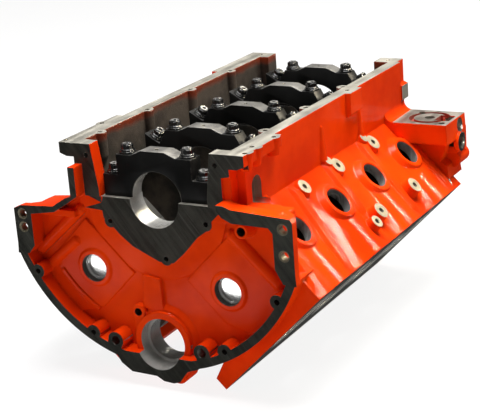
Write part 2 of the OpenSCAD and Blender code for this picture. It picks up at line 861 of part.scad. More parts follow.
module pump_pad_holes() {
    groove = 4;
    translate([pad_x, pad_y, pad_z - 7])
        difference() {
            cylinder(h = 7 + past, r = pad_groove_r + groove);
            translate([0, 0, -1])
                cylinder(h = 12, r = pad_groove_r - groove);
        }
    // Pocket that the ring groove opens into
    translate([pad_x + 12, pad_y - 14, pad_z - 9])
        cube([24, 30, 9 + past]);
    translate([pad_x, pad_y, pad_z - 45])
        cylinder(h = 45 + past, d = pad_bore_d);
    for (b = pad_bolts)
        translate([b[0], b[1], pad_z - 28])
            cylinder(h = 28 + past, r = 5);
    for (p = pad_ports)
        translate([pad_out - 26, p[0], pad_z + p[1]])
            rotate([0, 90, 0])
                cylinder(h = 40, r = p[2]);
    bar_y(pad_out - 10, pad_z - 66, front_y - 18, front_y, 5);
    bar_y(pad_out - 32, pad_z - 20, front_y - 26, front_y, 5);
}

// ---- Holes of the casting ----

chamber_y = bank_y1(-1);

// Timing chamber in the front end, open upwards and forwards
module timing_chamber() {
    along(chamber_y, front_y + past)
        polygon([[-98, rail_z + past], [-98, -20], [-86, -126], [-68, -204],
                 [-38, -230], [38, -230], [68, -204], [84, -126], [88, -20],
                 [88, rail_z + past]]);
    along(front_web_y, front_y + past)
        translate([-98, 0])
            square([186, rail_z + past]);
}

module crankcase_space() {
    for (k = [2 : mains])
        along(main_y(k) + half_web, main_y(k - 1) - half_web)
            crankcase_section();
    along(rear_inner_y, front_web_y + past)
        translate([-crankcase_r, 0])
            square([2 * crankcase_r, rail_z + past]);
    // Seat of the rear cap, between the end blocks
    along(wall_y - 12, rear_inner_y + past)
        translate([-rear_cap_x - 3, 0])
            square([2 * rear_cap_x + 6, rail_z + past]);
}

module crank_bore() {
    bar_y(0, 0, bell_y - past, front_y + past, main_bore_d / 2);
    for (k = [1 : mains - 1])
        boss_y(0, 0, main_y(k) - half_web - 0.01, main_y(k) - half_web + bore_chamfer,
               main_bore_d / 2 + bore_chamfer, main_bore_d / 2);
}

module cam_tunnel() {
    bar_y(0, -cam_drop, bell_y - past, front_y + past, cam_bore_d / 2);
    bar_y(0, -cam_drop, bell_y - past, cam_boss_y + cam_mouth_depth, cam_mouth_d / 2);
    bar_y(small_boss[0], small_boss[1], cam_boss_y - past, cam_boss_y + 24, 5.5);
}

module rear_plug_holes() {
    for (side = [-1, 1]) {
        spot = rear_plug_spot(side);
        depth = side > 0 ? rear_plug_depth : left_wall_y - wall_y + lap;
        bar_y(spot[0], spot[1], wall_y - 6 - past, wall_y + depth, rear_plug_d / 2);
    }
}

// Threaded holes in the rear machined faces
module rear_tapped_holes() {
    for (b = shield_bolts)
        bar_y(b[0], b[1], wall_y - 8 - past, wall_y + 20, 3.5);
    for (side = [-1, 1])
        bar_y(side * 98, 56.5, wall_y - 8 - past, wall_y + 20, 3.5);
    bar_y(strip_boss[0], strip_boss[1], bell_y + 6 - past, wall_y + 8, 6);
}

// Bolt holes of the oil pan
module pan_holes() {
    for (k = [2 : mains])
        pan_hole(-pan_in_x, main_y(k) + pan_off_left);
    for (k = [2 : mains - 1])
        pan_hole(pan_in_x - 3, main_y(k) + pan_off_right);
    for (y = rail_pads_left)
        pan_hole(-pan_out_x, y);
    for (y = rail_pads_right)
        pan_hole(pan_out_x, y);
    pan_hole(pan_out_x - 6, 39.5);
    pan_hole(skirt_x - 5, late_pad_y);
    for (x = [-end_x, strip_x])
        pan_hole(x, front_y - 14);
}

module pan_hole(x, y) {
    translate([x, y, rail_z - pan_hole_depth])
        cylinder(h = pan_hole_depth + past, d = pan_hole_d);
}

// Tapped holes around the timing chamber
front_bolts = [[112, 44], [108, 6], [101, -62], [94, -122], [76, -206], [28, -238]];
module front_holes() {
    for (side = [-1, 1], b = front_bolts)
        bar_y(side * b[0], b[1], front_y - 20, front_y + past, 4);
}

// ---- The casting ----

module block_casting() {
    color(paint)
        difference() {
            union() {
                difference() {
                    union() {
                        bell_flange();
                        ear_shelves();
                        rear_wall();
                        rear_ribs();
                        shield();
                        for (side = [-1, 1]) {
                            skirt(side);
                            bank(side);
                            side_wall_features(side);
                        }
                        rails();
                        rear_end_blocks();
                        front_end();
                        main_webs();
                        pump_pad();
                    }
                    crankcase_space();
                    timing_chamber();
                    for (side = [-1, 1])
                        water_jacket(side);
                }
                pan_bosses();
            }
            for (side = [-1, 1]) {
                cylinder_bores(side);
                deck_holes(side);
                lifter_bores(side);
                side_wall_holes(side);
            }
            crank_bore();
            cam_tunnel();
            bell_holes();
            rear_plug_holes();
            rear_tapped_holes();
            pan_holes();
            front_holes();
            skirt_slot();
            pump_pad_holes();
            for (k = [1 : mains], side = [-1, 1]) {
                at_inner(side, k)
                    stud(cap_seat_z);
                at_outer(side, k)
                    stud(outer_seat_height(k));
            }
        }
}

// Shelf that ties the top of each ear to the bank's outer wall
module ear_shelves() {
    for (side = [-1, 1]) {
        top = side > 0 ? ear_top_right - 4 : ear_top_left;
        on_side(side)
            translate([0, 0, top - 9])
                linear_extrude(9)
                    polygon([[skirt_x - 10, bell_y + lip_t - lap], [ear_x - 4, bell_y + lip_t - lap],
                             [ear_x - 9, wall_y], [186, 18], [160, 42], [skirt_x - 10, 76]]);
    }
}

// ---- Rear core plugs ----

module rear_core_plug(side) {
    spot = rear_plug_spot(side);
    floor_y = wall_y + rear_plug_depth;
    color(zinc)
        difference() {
            bar_y(spot[0], spot[1], floor_y - cup_h, floor_y, rear_plug_d / 2);
            bar_y(spot[0], spot[1], floor_y - cup_h - past, floor_y - cup_t,
                  rear_plug_d / 2 - cup_t);
        }
}

// ---- Main caps ----

spot_r = washer_d / 2 + 0.5;
is_rear = function(k) k == mains;
function outer_x(k) = is_rear(k) ? rear_out_x : stud_out_x;
function outer_z(k) = is_rear(k) ? rear_out_z : stud_out_z;
function lean(k) = is_rear(k) ? 0 : splay;
function outer_seat_height(k) = outer_z(k) / cos(lean(k));

// Frames at the nut seats, with Z up along the stud
module at_inner(side, k) {
    on_side(side)
        translate([stud_in_x, main_y(k), cap_seat_z])
            children();
}

module at_outer(side, k) {
    on_side(side)
        translate([outer_x(k), main_y(k), outer_z(k)])
            rotate([0, -lean(k), 0])
                children();
}

// Points of the right half of a cap's outline, from the bearing's joint face up to the top
function cap_half(k) =
    let (
        a = lean(k),
        x_end = is_rear(k) ? rear_cap_x : cap_x,
        foot = is_rear(k) ? rear_cap_x : cap_foot_x,
        notch = [outer_x(k) - spot_r * cos(a), outer_z(k) - spot_r * sin(a)],
        rise = (cap_seat_z - notch[1]) / cos(a)
    )
    [
        [foot, 0], [foot, 12], [x_end, is_rear(k) ? 20 : 26],
        [x_end, outer_z(k) + (x_end - outer_x(k)) * tan(a)],
        notch,
        [notch[0] - rise * sin(a), cap_seat_z],
        [stud_in_x - spot_r, cap_seat_z],
        [cap_flat_x, cap_top_z]
    ];

// The other half, in the order that closes the outline
function cap_other_half(k) =
    let (half = cap_half(k), last = len(half) - 1)
    [for (i = [last : -1 : 0]) [-half[i][0], half[i][1]]];

module main_cap(k) {
    color(black)
        difference() {
            along(main_y(k) - half_web, main_y(k) + half_web)
                polygon(concat(cap_half(k), cap_other_half(k)));
            bar_y(0, 0, main_y(k) - web_t, main_y(k) + web_t, main_bore_d / 2);
            for (end = [-1, 1])
                translate([0, main_y(k) + end * half_web, 0])
                    rotate([end * 90, 0, 0])
                        translate([0, 0, -0.01])
                            cylinder(h = bore_chamfer, r1 = main_bore_d / 2 + bore_chamfer,
                                     r2 = main_bore_d / 2);
            for (side = [-1, 1]) {
                at_inner(side, k)
                    translate([0, 0, -cap_seat_z - past])
                        cylinder(h = cap_seat_z + 2 * past, d = stud_d + 2 * stud_gap);
                at_outer(side, k)
                    translate([0, 0, -outer_seat_height(k) - 10])
                        cylinder(h = outer_seat_height(k) + 12, d = stud_d + 2 * stud_gap);
            }
            // Tapped hole in the top flat
            translate([0, main_y(k), cap_top_z - 10])
                cylinder(h = 12, r = 2.5);
        }
}

// ---- Studs, washers and nuts, drawn upwards from a nut seat ----

module stud(seat_height) {
    length = seat_height + stud_depth + washer_t + nut_h + stud_tip;
    translate([0, 0, -seat_height - stud_depth])
        cylinder(h = length, d = stud_d);
}

module washer() {
    difference() {
        cylinder(h = washer_t, d = washer_d);
        translate([0, 0, -past])
            cylinder(h = washer_t + 2 * past, d = stud_d + 2 * stud_gap);
    }
}

module nut() {
    difference() {
        translate([0, 0, washer_t]) {
            cylinder(h = nut_flange_t, d = nut_flange_d);
            for (turn = [0, 30])
                rotate([0, 0, turn])
                    cylinder(h = nut_h, d = nut_d, $fn = 6);
        }
        cylinder(h = washer_t + nut_h + past, d = stud_d);
    }
}

module inner_studs(k) {
    color(steel)
        for (side = [-1, 1])
            at_inner(side, k)
                stud(cap_seat_z);
}

module outer_studs(k) {
    color(steel)
        for (side = [-1, 1])
            at_outer(side, k)
                stud(outer_seat_height(k));
}

module inner_washers(k) {
    color(steel)
        for (side = [-1, 1])
            at_inner(side, k)
                washer();
}

module outer_washers(k) {
    color(steel)
        for (side = [-1, 1])
            at_outer(side, k)
                washer();
}

module inner_nuts(k) {
    color(steel)
        for (side = [-1, 1])
            at_inner(side, k)
                nut();
}

module outer_nuts(k) {
    color(steel)
        for (side = [-1, 1])
            at_outer(side, k)
                nut();
}

block_casting();
rear_core_plug(-1);  // rear_core_plug_left
rear_core_plug(1);  // rear_core_plug_right
for (k = [1 : mains]) {
    main_cap(k);
    inner_studs(k);
    outer_studs(k);
    inner_washers(k);
    outer_washers(k);
    inner_nuts(k);
    outer_nuts(k);
}
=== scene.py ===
# %% [markdown]
# # An engine block, upside down on its two cylinder decks
# This lesson dresses a finished CAD model of a vee-eight cylinder block. The shapes of the
# casting come from the CAD frame and stay where they are. What we add is what a camera sees:
# glossy enamel over rough cast iron, milled faces, honed bores, black oxide caps, and
# twelve-point nuts on their studs. We work in metres, as the frame does.

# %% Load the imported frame
import math
import random

import bmesh
import bpy
import numpy as np
from mathutils import Matrix, Vector
from mathutils.bvhtree import BVHTree


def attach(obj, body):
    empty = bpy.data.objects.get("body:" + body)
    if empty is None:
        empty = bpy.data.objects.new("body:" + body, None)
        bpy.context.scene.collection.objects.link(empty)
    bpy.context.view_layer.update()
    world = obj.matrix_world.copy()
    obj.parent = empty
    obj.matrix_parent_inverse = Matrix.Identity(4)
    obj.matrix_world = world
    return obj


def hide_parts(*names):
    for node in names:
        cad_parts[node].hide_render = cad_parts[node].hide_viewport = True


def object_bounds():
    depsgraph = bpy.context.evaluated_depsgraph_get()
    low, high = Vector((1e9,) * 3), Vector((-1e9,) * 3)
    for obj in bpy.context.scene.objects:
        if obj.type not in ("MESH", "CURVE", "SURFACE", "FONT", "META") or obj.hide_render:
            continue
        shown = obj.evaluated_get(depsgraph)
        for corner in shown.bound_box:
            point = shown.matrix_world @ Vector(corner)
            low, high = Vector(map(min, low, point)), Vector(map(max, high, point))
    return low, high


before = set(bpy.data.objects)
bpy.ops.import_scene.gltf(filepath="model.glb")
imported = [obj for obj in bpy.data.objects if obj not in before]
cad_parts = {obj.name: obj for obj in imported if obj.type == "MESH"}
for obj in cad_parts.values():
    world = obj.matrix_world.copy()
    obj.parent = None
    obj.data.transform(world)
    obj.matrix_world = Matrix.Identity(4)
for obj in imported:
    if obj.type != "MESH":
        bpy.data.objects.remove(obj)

MM = 0.001
cad_low, cad_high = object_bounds()
print("CAD box", [round(v, 4) for v in cad_low], [round(v, 4) for v in cad_high])

# %% [markdown]
# ## Camera
# A photograph gives its camera away. The bores, the rails and the flange of this block have
# known sizes, so a camera can be fitted until they all fall on the right pixels. A long lens
# standing well back was found, turned 30 degrees to the left of the crankshaft line, looking 18
# degrees down, and rolled a little. We build its axes by hand, because that is exact.

# %% Camera
bearing, fall, roll = (math.radians(a) for a in (-29.9, 17.96, -4.36))
look = Vector((math.sin(bearing) * math.cos(fall), math.cos(bearing) * math.cos(fall),
               -math.sin(fall)))
level = look.cross(Vector((0, 0, 1))).normalized()
upright = level.cross(look)
right = math.cos(roll) * level + math.sin(roll) * upright
up = -math.sin(roll) * level + math.cos(roll) * upright
camera_data = bpy.data.cameras.new("camera")
camera_data.lens = 109.7
camera_data.sensor_width = 36
camera = bpy.data.objects.new("camera", camera_data)
camera.matrix_world = Matrix((right, up, -look)).transposed().to_4x4()
camera.location = (1.0034, -1.5216, 0.5689)
bpy.context.scene.collection.objects.link(camera)
bpy.context.scene.camera = camera
print("camera at", tuple(round(v, 3) for v in camera.location))

# %% [markdown]
# ## Floor and light
# The photograph shows the block alone on white. A pale floor under a broad, soft lamp comes
# close to that. The long streaks on the enamel are reflections, so they need something bright
# and narrow to reflect: strip lamps above the right-hand side, which light nothing else. The
# rear face looks away from the lamps and stays a darker red, and the floor is kept out of its
# gloss, because a white floor in it would turn the red into pink. Only the two bright cups in
# the rear face need something white to mirror, so each gets a small card on the floor. Its
# place follows from the rule of the mirror: the ray from the camera comes back from the cup at
# the angle at which it arrived.

# %% White paper
PAPER, PAPER_ROUGHNESS = (0.10, 0.10, 0.10, 1), 0.9


def studio_paper(piece, name, glow):
    """Gives a studio piece its name and a white paper that glows a little."""
    finish = bpy.data.materials.new(name + "_paper")
    finish.use_nodes = True
    shader = finish.node_tree.nodes["Principled BSDF"]
    shader.inputs["Base Color"].default_value = PAPER
    shader.inputs["Roughness"].default_value = PAPER_ROUGHNESS
    shader.inputs["Emission Color"].default_value = (1, 1, 1, 1)
    shader.inputs["Emission Strength"].default_value = glow
    piece.name = name
    piece.data.materials.append(finish)


# %% Floor and backdrop
ROOM_MIDDLE, FLOOR_SIZE, BACKDROP_R = (0, 1.5), 16, 7.6
FLOOR_GAP = 0.0006  # a sheet's breadth, so that the decks don't flicker against the floor
FLOOR_GLOW, BACKDROP_GLOW = 0.87, 0.88


def white_room():
    """A floor that the gloss of the paint doesn't see, and a wall that only the camera sees."""
    bpy.ops.mesh.primitive_plane_add(size=FLOOR_SIZE,
                                     location=(*ROOM_MIDDLE, cad_low.z - FLOOR_GAP))
    floor = bpy.context.object
    floor.visible_glossy = False
    studio_paper(floor, "floor", FLOOR_GLOW)
    bpy.ops.mesh.primitive_uv_sphere_add(segments=48, ring_count=24, radius=BACKDROP_R,
                                         location=(*ROOM_MIDDLE, 0))
    wall = bpy.context.object
    wall.visible_diffuse = wall.visible_glossy = wall.visible_shadow = False
    studio_paper(wall, "backdrop", BACKDROP_GLOW)
    print("floor at", round(cad_low.z - FLOOR_GAP, 4))


white_room()

# %% Cards that the cups mirror
CARD_SIZE, CARD_LIFT, CARD_GLOW = 0.18, 0.001, 2.4


def mirror_card(cup):
    """A white card on the floor, where the camera sees it mirrored in the floor of a cup."""
    points = np.array([v.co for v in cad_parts[cup].data.vertices])
    middle = Vector((points.min(0) + points.max(0)) / 2)
    ray = middle - camera.location
    ray.y = -ray.y
    spot = middle + ray * ((cad_low.z + CARD_LIFT - middle.z) / ray.z)
    bpy.ops.mesh.primitive_plane_add(size=CARD_SIZE, location=spot)
    card = bpy.context.object
    card.visible_camera = card.visible_diffuse = card.visible_shadow = False
    studio_paper(card, "card_for_" + cup, CARD_GLOW)
    print("card for", cup, [round(v, 3) for v in spot])


for cup in ("rear_core_plug_left", "rear_core_plug_right"):
    mirror_card(cup)


# %% Lamps
def soft_lamp(name, place, size, watts, aim=(0.05, 0.25, -0.05), along=(0, 0, 1)):
    """A rectangular lamp that faces aim, with its second side as near to along as it can be."""
    lamp = bpy.data.lights.new(name, "AREA")
    lamp.shape = "RECTANGLE"
    lamp.size, lamp.size_y = size
    lamp.energy = watts
    holder = bpy.data.objects.new(name, lamp)
    back = (Vector(place) - Vector(aim)).normalized()
    across = Vector(along).cross(back).normalized()
    holder.matrix_world = Matrix((across, back.cross(across), back)).transposed().to_4x4()
    holder.location = place
    bpy.context.scene.collection.objects.link(holder)
    return holder


DOWN_THE_WALL, WARM_WHITE = (1, 0, -1), (1.0, 0.88, 0.66)
soft_lamp("overhead_box", (0.28, 0.5, 2.6), (1.2, 2.4), 245)
soft_lamp("front_fill", (-1.4, -2.8, 1.2), (0.4, 0.4), 4)
for strip in (
        soft_lamp("right_strip", (2.3, 0.2, 1.5), (0.03, 2.6), 50, along=DOWN_THE_WALL),
        soft_lamp("high_strip", (1.2, 0.9, 2.1), (0.03, 2.2), 100, along=DOWN_THE_WALL),
        soft_lamp("back_strip", (1.13, 1.86, 1.04), (0.04, 1.6), 66, (0.17, 0.25, -0.1),
                  DOWN_THE_WALL)):
    strip.visible_diffuse = False
    strip.data.color = WARM_WHITE
print("lamps", len(bpy.data.lights))

# %% World
world = bpy.data.worlds.new("studio")
bpy.context.scene.world = world
world.use_nodes = True
sky = world.node_tree.nodes["Background"]
sky.inputs["Color"].default_value = (1, 1, 1, 1)
sky.inputs["Strength"].default_value = 0.08
bpy.context.scene.view_settings.view_transform = "Standard"
print("world", round(sky.inputs["Strength"].default_value, 3))

# %% [markdown]
# ## Small helpers
# Blender's operators act on whatever is selected, so every step starts by selecting nothing.
# A CAD node is never edited. To shape one further, we copy its loose triangles into a new
# object and merge the points that lie on each other, which makes a closed skin of it.

# %% Helpers for objects
SAME_POINT = 1e-6  # metres


def select_only(*objects):
    """Selects these objects and nothing else, and makes the first one active."""
    if bpy.context.object and bpy.context.object.mode != "OBJECT":
        bpy.ops.object.mode_set(mode="OBJECT")
    bpy.ops.object.select_all(action="DESELECT")
    for one in objects:
        one.select_set(True)
    bpy.context.view_layer.objects.active = objects[0]


def copy_of(node, name):
    """A closed copy of a CAD node, with no finish yet."""
    twin = bpy.data.objects.new(name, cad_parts[node].data.copy())
    bpy.context.scene.collection.objects.link(twin)
    twin.data.materials.clear()
    select_only(twin)
    bpy.ops.mesh.customdata_custom_splitnormals_clear()
    bpy.ops.object.mode_set(mode="EDIT")
    bpy.ops.mesh.select_all(action="SELECT")
    bpy.ops.mesh.remove_doubles(threshold=SAME_POINT)
    bpy.ops.object.mode_set(mode="OBJECT")
    return twin


def faces_of(piece):
    """Middle and normal of each face, in millimetres and as a unit vector."""
    count = len(piece.data.polygons)
    middles, normals = np.empty(count * 3), np.empty(count * 3)
    piece.data.polygons.foreach_get("center", middles)
    piece.data.polygons.foreach_get("normal", normals)
    return middles.reshape(-1, 3) / MM, normals.reshape(-1, 3)


def stand_in(piece, node):
    """Lets a piece take the place of a CAD node: the piece hangs under the root, and the node is
    hidden.
    """
    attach(piece, "root")
    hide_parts(node)


# %% [markdown]
# ## Shared surface effects
# Several finishes need the same effects: the grain that sand leaves in a casting, the fine
# lines of a milling cutter, and the brightness of a worn edge. Each is a node group with its
# own inputs, built once. A group gives only values; the shader stays in each material.

# %% Helpers for materials
class Nodes:
    """Adds nodes to a tree and joins them, with plain values set on their own sockets."""

    def __init__(self, tree):
        self.tree = tree

    def add_end(self, kind):
        """The first or last node of a group."""
        return self.tree.nodes.new(kind)

    def add(self, kind, inputs=None, **settings):
        node = self.tree.nodes.new("ShaderNode" + kind)
        for key, value in settings.items():
            setattr(node, key, value)
        for key, value in (inputs or {}).items():
            if isinstance(value, bpy.types.NodeSocket):
                self.tree.links.new(value, node.inputs[key])
            else:
                node.inputs[key].default_value = value
        return node

    def math(self, operation, a, b):
        return self.add("Math", {0: a, 1: b}, operation=operation).outputs[0]

    def step(self, value, low, high, out_low=0.0, out_high=1.0):
        """0 below low, 1 above high, and smooth between them."""
        return self.add("MapRange", {"Value": value, "From Min": low, "From Max": high,
                                     "To Min": out_low, "To Max": out_high},
                        interpolation_type="SMOOTHSTEP").outputs[0]

    def blend(self, share, first, second):
        """The first colour at share 0, and the second at 1."""
        mix = self.add("Mix", data_type="RGBA")
        factor, colour_a, colour_b = mix.inputs[0], mix.inputs[6], mix.inputs[7]
        for socket, value in ((factor, share), (colour_a, first), (colour_b, second)):
            if isinstance(value, bpy.types.NodeSocket):
                self.tree.links.new(value, socket)
            else:
                socket.default_value = value
        return mix.outputs[2]

    def noise(self, place, scale, detail=2.0, roughness=0.5):
        return self.add("TexNoise", {"Vector": place, "Scale": scale, "Detail": detail,
                                     "Roughness": roughness}).outputs["Fac"]

    def place(self):
        """Where a point lies in the block, in metres."""
        return self.add("TexCoord").outputs["Object"]

    def stretched(self, place, scale):
        return self.add("Mapping", {"Vector": place, "Scale": scale}).outputs[0]

    def turned(self, place, angles):
        return self.add("Mapping", {"Vector": place, "Rotation": angles}).outputs[0]


def group(name, inputs, outputs):
    """A node group with its sockets: returns it, its Nodes helper and its two end nodes."""
    tree = bpy.data.node_groups.new(name, "ShaderNodeTree")
    for label, kind, value in inputs:
        socket = tree.interface.new_socket(label, in_out="INPUT", socket_type=kind)
        if value is not None:
            socket.default_value = value
    for label, kind in outputs:
        tree.interface.new_socket(label, in_out="OUTPUT", socket_type=kind)
    n = Nodes(tree)
    return tree, n, n.add_end("NodeGroupInput"), n.add_end("NodeGroupOutput")


# %% [markdown]
# ### Cast skin
# Sand leaves two marks on a casting: slow waves, where the mould gave way a little, and fine
# grain. Two noises of different sizes give both. Modelling them would take millions of faces,
# so they go into the bump, and a third, wide noise gives the patchy tone of the surface.

# %% Group: cast skin
def cast_skin_group():
    tree, n, given, result = group(
        "cast_skin",
        [("Place", "NodeSocketVector", None), ("Wave Scale", "NodeSocketFloat", 22.0),
         ("Grain Scale", "NodeSocketFloat", 650.0), ("Grain", "NodeSocketFloat", 0.3)],
        [("Height", "NodeSocketFloat"), ("Tone", "NodeSocketFloat")])
    place = given.outputs["Place"]
    wave = n.noise(place, given.outputs["Wave Scale"], 2.0, 0.45)
    grain = n.noise(place, given.outputs["Grain Scale"], 3.0, 0.6)
    height = n.math("ADD", wave, n.math("MULTIPLY", grain, given.outputs["Grain"]))
    tree.links.new(height, result.inputs["Height"])
    tree.links.new(n.noise(place, 9.0, 4.0, 0.6), result.inputs["Tone"])
    return tree


# %% [markdown]
# ### Milled lines
# A cutter leaves fine parallel lines. A wave texture draws them, and a noise stretched across
# them smears them, so that no two are alike. The cloud is the film of oil left on the face.

# %% Group: milled lines
def milled_lines_group():
    tree, n, given, result = group(
        "milled_lines",
        [("Place", "NodeSocketVector", None), ("Scale", "NodeSocketFloat", 900.0)],
        [("Height", "NodeSocketFloat"), ("Tone", "NodeSocketFloat")])
    place = given.outputs["Place"]
    lines = n.add("TexWave", {"Vector": place, "Scale": given.outputs["Scale"],
                              "Distortion": 1.2, "Detail": 2.0, "Detail Scale": 1.0},
                  wave_type="BANDS", bands_direction="X").outputs["Fac"]
    smear = n.noise(n.stretched(place, (140.0, 9.0, 9.0)), 1.0, 3.0, 0.6)
    tree.links.new(n.math("ADD", lines, n.math("MULTIPLY", smear, 0.8)), result.inputs["Height"])
    cloud = n.noise(place, 24.0, 5.0, 0.62)
    tree.links.new(n.math("ADD", n.math("MULTIPLY", smear, 0.55),
                          n.math("MULTIPLY", cloud, 0.45)), result.inputs["Tone"])
    return tree


# %% [markdown]
# ### Bright edges
# The Bevel node gives the normal that a rounded corner would have. Where it differs from the
# flat face's own normal, a corner is near. The black parts use that for the bare metal that wear
# shows on their edges, and the milled faces for a painted highlight along every edge. The soft
# normal itself rounds the corner without any new faces.

# %% Group: bright edges
def bright_edges_group():
    tree, n, given, result = group(
        "bright_edges", [("Reach", "NodeSocketFloat", 0.0015)],
        [("Mask", "NodeSocketFloat"), ("Normal", "NodeSocketVector")])
    soft = n.add("Bevel", {"Radius": given.outputs["Reach"]}, samples=6).outputs["Normal"]
    flat = n.add("NewGeometry").outputs["True Normal"]
    same = n.add("VectorMath", {0: soft, 1: flat}, operation="DOT_PRODUCT").outputs["Value"]
    tree.links.new(n.step(same, 0.97, 0.80), result.inputs["Mask"])
    tree.links.new(soft, result.inputs["Normal"])
    return tree


CAST_SKIN, MILLED_LINES, BRIGHT_EDGES = (
    cast_skin_group(), milled_lines_group(), bright_edges_group())
print("groups", [g.name for g in bpy.data.node_groups])


# %% A new material with its shader
def new_finish(name, **constants):
    """A material, its Nodes helper and its shader, with constants on the shader's sockets."""
    finish = bpy.data.materials.new(name)
    finish.use_nodes = True
    shader = finish.node_tree.nodes["Principled BSDF"]
    for label, value in constants.items():
        shader.inputs[label.replace("_", " ")].default_value = value
    return finish, Nodes(finish.node_tree), shader


def effect(n, tree, **inputs):
    """A group placed in a material, with its own values."""
    return n.add("Group", {k.replace("_", " "): v for k, v in inputs.items()},
                 node_tree=tree).outputs


def rough_up(n, shader, height, depth, normal=None):
    """Feeds a height into the shader's normal. depth is in metres."""
    given = {"Height": height, "Strength": 1.0, "Distance": depth}
    if normal:
        given["Normal"] = normal
    n.tree.links.new(n.add("Bump", given).outputs[0], shader.inputs["Normal"])


def wire(n, shader, **links):
    """Links sockets to the shader's inputs by name."""
    for label, socket in links.items():
        n.tree.links.new(socket, shader.inputs[label.replace("_", " ")])


# %% [markdown]
# ## Finishes of the casting
# The real block was sprayed with orange enamel and then machined, so one casting shows many
# surfaces. Enamel lies thick over soft cast edges, and its gloss draws white streaks. Milled
# iron is pale on the rails, which face the lamps, and darker on the flange, the end faces and
# the decks, which look towards the floor: that darkness is painted shade. The crankcase inside
# is bare brown iron with a little overspray under the rails.

# %% [markdown]
# ### Orange enamel
# Enamel is a smooth film that follows the cast waves and fills most of the grain. So its grain
# is low and its roughness small. Its gloss is kept weak, because a strong one would mirror the
# white room and turn the red into pink. The bright edges group only rounds its corners.

# %% Orange enamel
def block_enamel():
    finish, n, shader = new_finish("block_enamel", Specular_IOR_Level=0.06)
    place = n.place()
    skin = effect(n, CAST_SKIN, Place=place, Wave_Scale=24.0, Grain_Scale=420.0, Grain=0.14)
    edges = effect(n, BRIGHT_EDGES, Reach=0.0030)
    tone = n.step(skin["Tone"], 0.35, 0.68)
    colour = n.blend(tone, (0.64, 0.030, 0.0015, 1), (0.80, 0.048, 0.002, 1))
    wire(n, shader, Base_Color=colour,
         Roughness=n.step(skin["Tone"], 0.3, 0.7, 0.035, 0.10))
    rough_up(n, shader, skin["Height"], 0.0010, edges["Normal"])
    return finish


# %% [markdown]
# ### Bare cast iron
# Nobody masks the open crankcase before spraying, so a mist of paint falls on the walls just
# under the rails. The height of a point in the block tells how much of it there is, and a
# noise added to the height makes its border uneven.

# %% Bare cast iron
def raw_iron():
    finish, n, shader = new_finish("raw_iron", Specular_IOR_Level=0.3)
    place = n.place()
    skin = effect(n, CAST_SKIN, Place=place, Wave_Scale=30.0, Grain_Scale=520.0, Grain=0.5)
    edges = effect(n, BRIGHT_EDGES, Reach=0.003)
    blotch = n.math("MULTIPLY", n.noise(place, 34.0, 4.0, 0.65), 2.0)
    iron = n.blend(n.step(n.math("MULTIPLY", skin["Tone"], blotch), 0.30, 0.66),
                   (0.006, 0.005, 0.003, 1), (0.048, 0.036, 0.025, 1))
    height = n.add("SeparateXYZ", {0: place}).outputs["Z"]
    reach = n.math("ADD", height, n.math("MULTIPLY", n.noise(place, 18.0, 4.0), 0.020))
    spray = n.step(reach, 0.067, 0.082)
    dust = n.math("MULTIPLY", n.step(reach, 0.020, 0.075), 0.05)
    colour = n.blend(n.math("MAXIMUM", spray, dust), iron, (0.25, 0.032, 0.008, 1))
    wire(n, shader, Base_Color=colour, Roughness=n.step(spray, 0.0, 1.0, 0.62, 0.32))
    rough_up(n, shader, skin["Height"], 0.0012, edges["Normal"])
    return finish


# %% [markdown]
# ### Milled faces
# One function makes all the milled finishes, because they differ only in colour, shine and the
# way the cutter went. A few long scratches cross the lines. Every edge also gets a lighter
# colour:
# that is a painted highlight, for the light that an edge catches.

# %% Milled faces
EDGE_HIGHLIGHT_SHARE, SCRATCH_SHARE, SCRATCH_TURN = 0.6, 0.22, 0.9


def milled(name, dark, light, shine, metal, across=(0, 0, 0), scale=900.0):
    """dark and light are the two colours of the face, shine its least and most roughness.
    across turns the cutter's lines into the face, and scale says how fine they are."""
    finish, n, shader = new_finish(name, Metallic=metal)
    place = n.turned(n.place(), across)
    lines = effect(n, MILLED_LINES, Place=place, Scale=scale)
    edges = effect(n, BRIGHT_EDGES, Reach=0.0009)
    face = n.blend(n.step(lines["Tone"], 0.36, 0.64), (*dark, 1), (*light, 1))
    # A lighter colour for every edge: a painted highlight.
    edge_highlight = tuple(min(1.0, 2.2 * c + 0.05) for c in light)
    crossing = n.stretched(n.turned(place, (0, 0, SCRATCH_TURN)), (420.0, 7.0, 7.0))
    scratch = n.step(n.noise(crossing, 1.0, 2.0), 0.62, 0.72)
    # Painted highlight along the edges, and real scratches across the face.
    bright = n.math("MAXIMUM", n.math("MULTIPLY", edges["Mask"], EDGE_HIGHLIGHT_SHARE),
                    n.math("MULTIPLY", scratch, SCRATCH_SHARE))
    wire(n, shader, Base_Color=n.blend(bright, face, (*edge_highlight, 1)),
         Roughness=n.step(lines["Tone"], 0.3, 0.7, *shine))
    rough_up(n, shader, lines["Height"], 0.00006, edges["Normal"])
    return finish


# %% [markdown]
# ### Honed bores
# A hone leaves fine lines that run round the bore. The milled lines do for them, turned by a
# quarter so that they cross the bore's axis.

# %% Honed bores
QUARTER_TURN = (0, 0, math.radians(90))


def honed():
    finish, n, shader = new_finish("honed_bore", Metallic=0.55)
    lines = effect(n, MILLED_LINES, Place=n.turned(n.place(), QUARTER_TURN), Scale=700.0)
    colour = n.blend(n.step(lines["Height"], 0.4, 1.4), (0.38, 0.372, 0.35, 1),
                     (0.66, 0.645, 0.61, 1))
    wire(n, shader, Base_Color=colour, Roughness=n.step(lines["Tone"], 0.3, 0.7, 0.17, 0.24))
    rough_up(n, shader, lines["Height"], 0.00005)
    return finish
